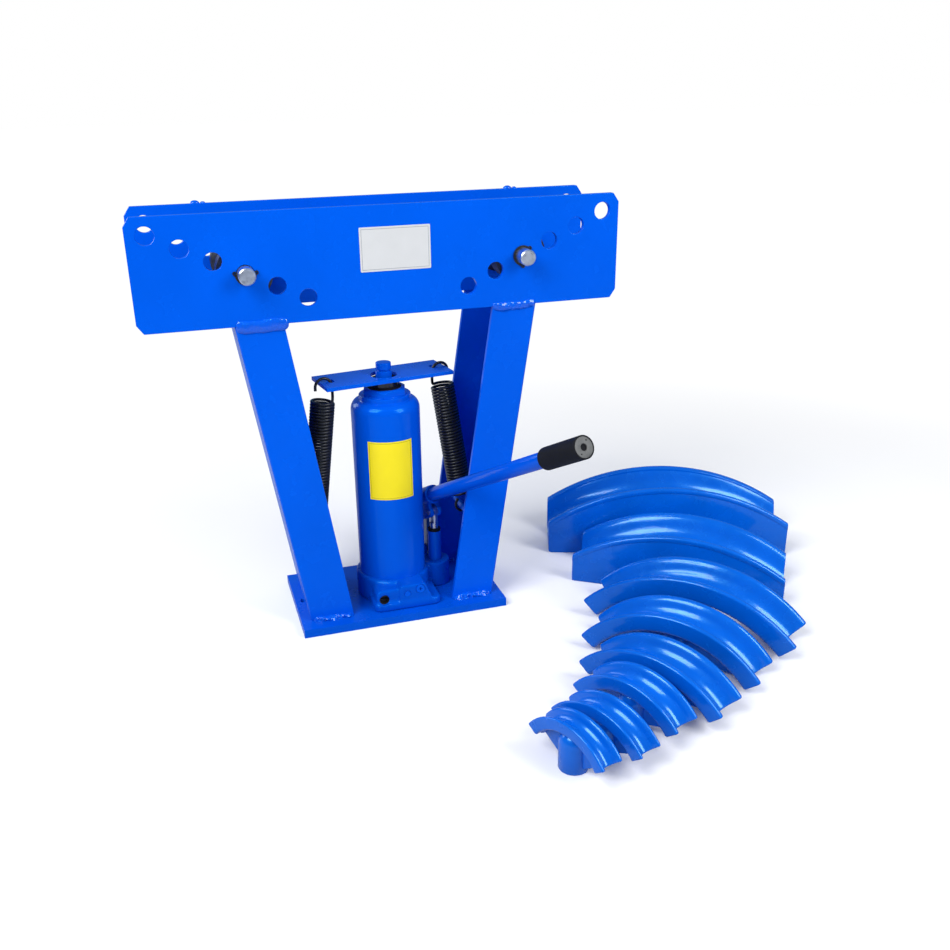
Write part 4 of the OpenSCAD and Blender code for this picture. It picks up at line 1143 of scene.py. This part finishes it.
class BENDER_OT_labels(bpy.types.Operator):
    """Cut the blank name plate and the blank jack label, each with a thin printed border"""
    bl_idname = "bender.labels"
    bl_label = "Labels"

    plate_corner, plate_edge, plate_inset, plate_line = 1.5 * MM, 0.12 * MM, 3 * MM, 0.9 * MM
    label_arc, label_turn = math.radians(77), math.radians(-96.5)
    label_gap, label_thick, label_inset, label_line = 0.1 * MM, 0.28 * MM, 2.6 * MM, 0.8 * MM

    def execute(self, context):
        self.name_plate(tuple(looks().plate))
        self.jack_label(tuple(looks().label))
        return {"FINISHED"}

    def name_plate(self, colour):
        """The flat plate on the front of the beam."""
        lo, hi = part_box("name_plate")
        mid, half = (lo + hi) / 2, (hi - lo) / 2
        line = border((centred("X", mid.x), centred("Z", mid.z)), (half.x, half.z),
                      self.plate_inset, self.plate_line)
        finish = printed_sheet("name_plate_print", colour, (0.35, 0.36, 0.38), line)
        ring = rounded([(mid.x + sx * half.x, mid.z + sz * half.z, self.plate_corner)
                        for sx, sz in ((-1, -1), (1, -1), (1, 1), (-1, 1))], 4)
        plate = slab([Vector((p.x, hi.y, p.y)) for p in ring], (0, lo.y - hi.y, 0), "plate")
        bevel(plate, self.plate_edge, 1)
        settle(plate, "name_plate_blank", "frame", finish, "white_label", "name_plate")

    def jack_label(self, colour):
        """The label bent round the oil tube."""
        lo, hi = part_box("jack_label")
        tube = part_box("oil_tube")
        r, arc = (tube[1].x - tube[0].x) / 2 + self.label_gap, self.label_arc

        def round_way(n):
            parts = n.add("ShaderNodeSeparateXYZ")
            n.link(n.mapped(turn=(0, 0, -self.label_turn)), parts.inputs["Vector"])
            return n.maths("MULTIPLY", n.maths("ARCTAN2", parts.outputs["Y"], parts.outputs["X"]), r)
        line = border((round_way, centred("Z", (lo.z + hi.z) / 2)), (r * arc / 2, (hi.z - lo.z) / 2),
                      self.label_inset, self.label_line)
        finish = printed_sheet("jack_label_print", colour, (0.45, 0.36, 0.0), line)
        start, outer = self.label_turn - arc / 2, r + self.label_thick
        ring = [Vector((q * math.cos(start), q * math.sin(start), z))
                for q, z in ((r, lo.z), (outer, lo.z), (outer, hi.z), (r, hi.z))]
        label = spun(ring, (0, 0, 1), (0, 0, 0), arc, 48, "label")
        smooth(label, 30)
        settle(label, "jack_label_blank", "frame", finish, "yellow_label", "jack_label")


class BENDER_OT_studio(bpy.types.Operator):
    """Set the pale floor, the soft lights and the camera"""
    bl_idname = "bender.studio"
    bl_label = "Studio"

    photo_px, focal_px, centre_px, sensor_mm = 950, 981.48, (454.93, 483.86), 36
    eye = Vector((-0.31819, -1.47924, 0.80893))
    right, ahead = Vector((0.95758, -0.28767, -0.01875)), Vector((0.26027, 0.89072, -0.37281))

    def lamp(self, name, place, aim, size, power):
        """A soft rectangular lamp that points at a place."""
        only()
        bpy.ops.object.light_add(type="AREA", location=place)
        lamp = bpy.context.object
        lamp.name = name
        lamp.data.shape = "RECTANGLE"
        lamp.data.size, lamp.data.size_y = size
        lamp.data.energy = power
        lamp.rotation_euler = (Vector(aim) - Vector(place)).to_track_quat("-Z", "Y").to_euler()

    def air(self, tree, seen, lit, mirrored):
        """White air: one colour where it is seen, one for its light, and a dim one in reflections."""
        out = next(n for n in tree.nodes if n.type == "OUTPUT_WORLD")
        path = tree.nodes.new("ShaderNodeLightPath")
        shader = None
        for colour, ray in ((lit, None), (mirrored, "Is Glossy Ray"), (seen, "Is Camera Ray")):
            back = tree.nodes.new("ShaderNodeBackground")
            back.inputs["Color"].default_value = (*colour, 1)
            if ray:
                mix = tree.nodes.new("ShaderNodeMixShader")
                tree.links.new(path.outputs[ray], mix.inputs[0])
                tree.links.new(shader, mix.inputs[1])
                tree.links.new(back.outputs[0], mix.inputs[2])
                shader = mix.outputs[0]
            else:
                shader = back.outputs[0]
        tree.links.new(shader, out.inputs["Surface"])

    def floor(self):
        """A pale floor that turns white with distance and gives a dimmer bounce than it shows."""
        only()
        bpy.ops.mesh.primitive_plane_add(size=60, location=(0, 0, 0))
        floor = bpy.context.object
        floor.name = "studio_floor"
        n = Nodes("pale_floor")
        cloud = n.noise(3, 3)
        away = n.add("ShaderNodeVectorMath", operation="LENGTH")
        n.link(n.mapped(shift=(-0.25, 0.2, 0)), away.inputs[0])
        far = n.span(away.outputs["Value"], 0.0, 1.0, (0.75, 1.5))
        n.shader.inputs["Emission Color"].default_value = (1, 1, 1, 1)
        n.link(far, n.shader.inputs["Emission Strength"])
        pale = n.ramp(cloud, (0.96, 0.96, 0.96), (0.975, 0.975, 0.975))
        floor.data.materials.append(n.set(color=n.mix(far, pale, (0.0, 0.0, 0.0)),
                                          rough=n.span(cloud, 0.75, 0.85)))
        bounce = n.add("ShaderNodeBsdfDiffuse")
        bounce.inputs["Color"].default_value = (0.42, 0.46, 0.55, 1)
        path, mix = n.add("ShaderNodeLightPath"), n.add("ShaderNodeMixShader")
        n.link(path.outputs["Is Camera Ray"], mix.inputs[0])
        n.link(bounce.outputs[0], mix.inputs[1])
        n.link(n.shader.outputs[0], mix.inputs[2])
        out = next(o for o in n.tree.nodes if o.type == "OUTPUT_MATERIAL")
        n.link(mix.outputs[0], out.inputs["Surface"])

    def camera(self, scene):
        """The camera, fitted to the straight edges of the frame."""
        cam = bpy.data.cameras.new("photo_camera")
        obj = bpy.data.objects.new("photo_camera", cam)
        scene.collection.objects.link(obj)
        ahead = self.ahead
        right = (self.right - self.right.dot(ahead) * ahead).normalized()
        obj.matrix_world = axes(right, right.cross(ahead), -ahead, self.eye)
        cam.sensor_width = self.sensor_mm
        cam.lens = self.focal_px * self.sensor_mm / self.photo_px
        cam.shift_x = (self.photo_px / 2 - self.centre_px[0]) / self.photo_px
        cam.shift_y = (self.centre_px[1] - self.photo_px / 2) / self.photo_px
        cam.clip_start, cam.clip_end = 0.01, 60
        scene.camera = obj

    def execute(self, context):
        scene = context.scene
        self.floor()
        world = bpy.data.worlds.new("studio_air")
        scene.world = world
        world.use_nodes = True
        self.air(world.node_tree, (1, 1, 1), (0.42, 0.44, 0.48), (0.08, 0.2, 0.42))
        middle = (0.2, -0.2, 0.2)
        self.lamp("left_softbox", (-1.45, -1.0, 2.0), middle, (1.4, 1.4), 52)
        self.lamp("right_softbox", (1.6, -1.85, 1.65), middle, (1.0, 1.5), 42)
        self.lamp("rear_softbox", (-1.7, 1.8, 1.2), middle, (1.5, 1.3), 20)
        self.camera(scene)
        scene.view_settings.view_transform = "Standard"
        return {"FINISHED"}


STEPS = (BENDER_OT_studio, BENDER_OT_finishes, BENDER_OT_frame_plates, BENDER_OT_welds, BENDER_OT_jack,
         BENDER_OT_springs, BENDER_OT_pump, BENDER_OT_dies, BENDER_OT_labels)


class BENDER_PT_panel(bpy.types.Panel):
    """Lists the steps that dress the bender"""
    bl_idname = "BENDER_PT_panel"
    bl_label = "Pipe bender"
    bl_space_type = "VIEW_3D"
    bl_region_type = "UI"
    bl_category = "Bender"

    def draw(self, context):
        for step in STEPS:
            self.layout.operator(step.bl_idname)
        for group in (context.scene.bender_looks, context.scene.bender_sizes):
            for name in group.__annotations__:
                self.layout.prop(group, name)


CLASSES = (BenderLooks, BenderSizes, *STEPS, BENDER_PT_panel)


def register():
    for c in CLASSES:
        bpy.utils.register_class(c)
    bpy.types.Scene.bender_looks = PointerProperty(type=BenderLooks)
    bpy.types.Scene.bender_sizes = PointerProperty(type=BenderSizes)


def unregister():
    del bpy.types.Scene.bender_sizes
    del bpy.types.Scene.bender_looks
    for c in reversed(CLASSES):
        bpy.utils.unregister_class(c)


def main():
    register()
    for step in STEPS:
        group, name = step.bl_idname.split(".")
        getattr(getattr(bpy.ops, group), name)()


if __name__ == "__main__":
    main()
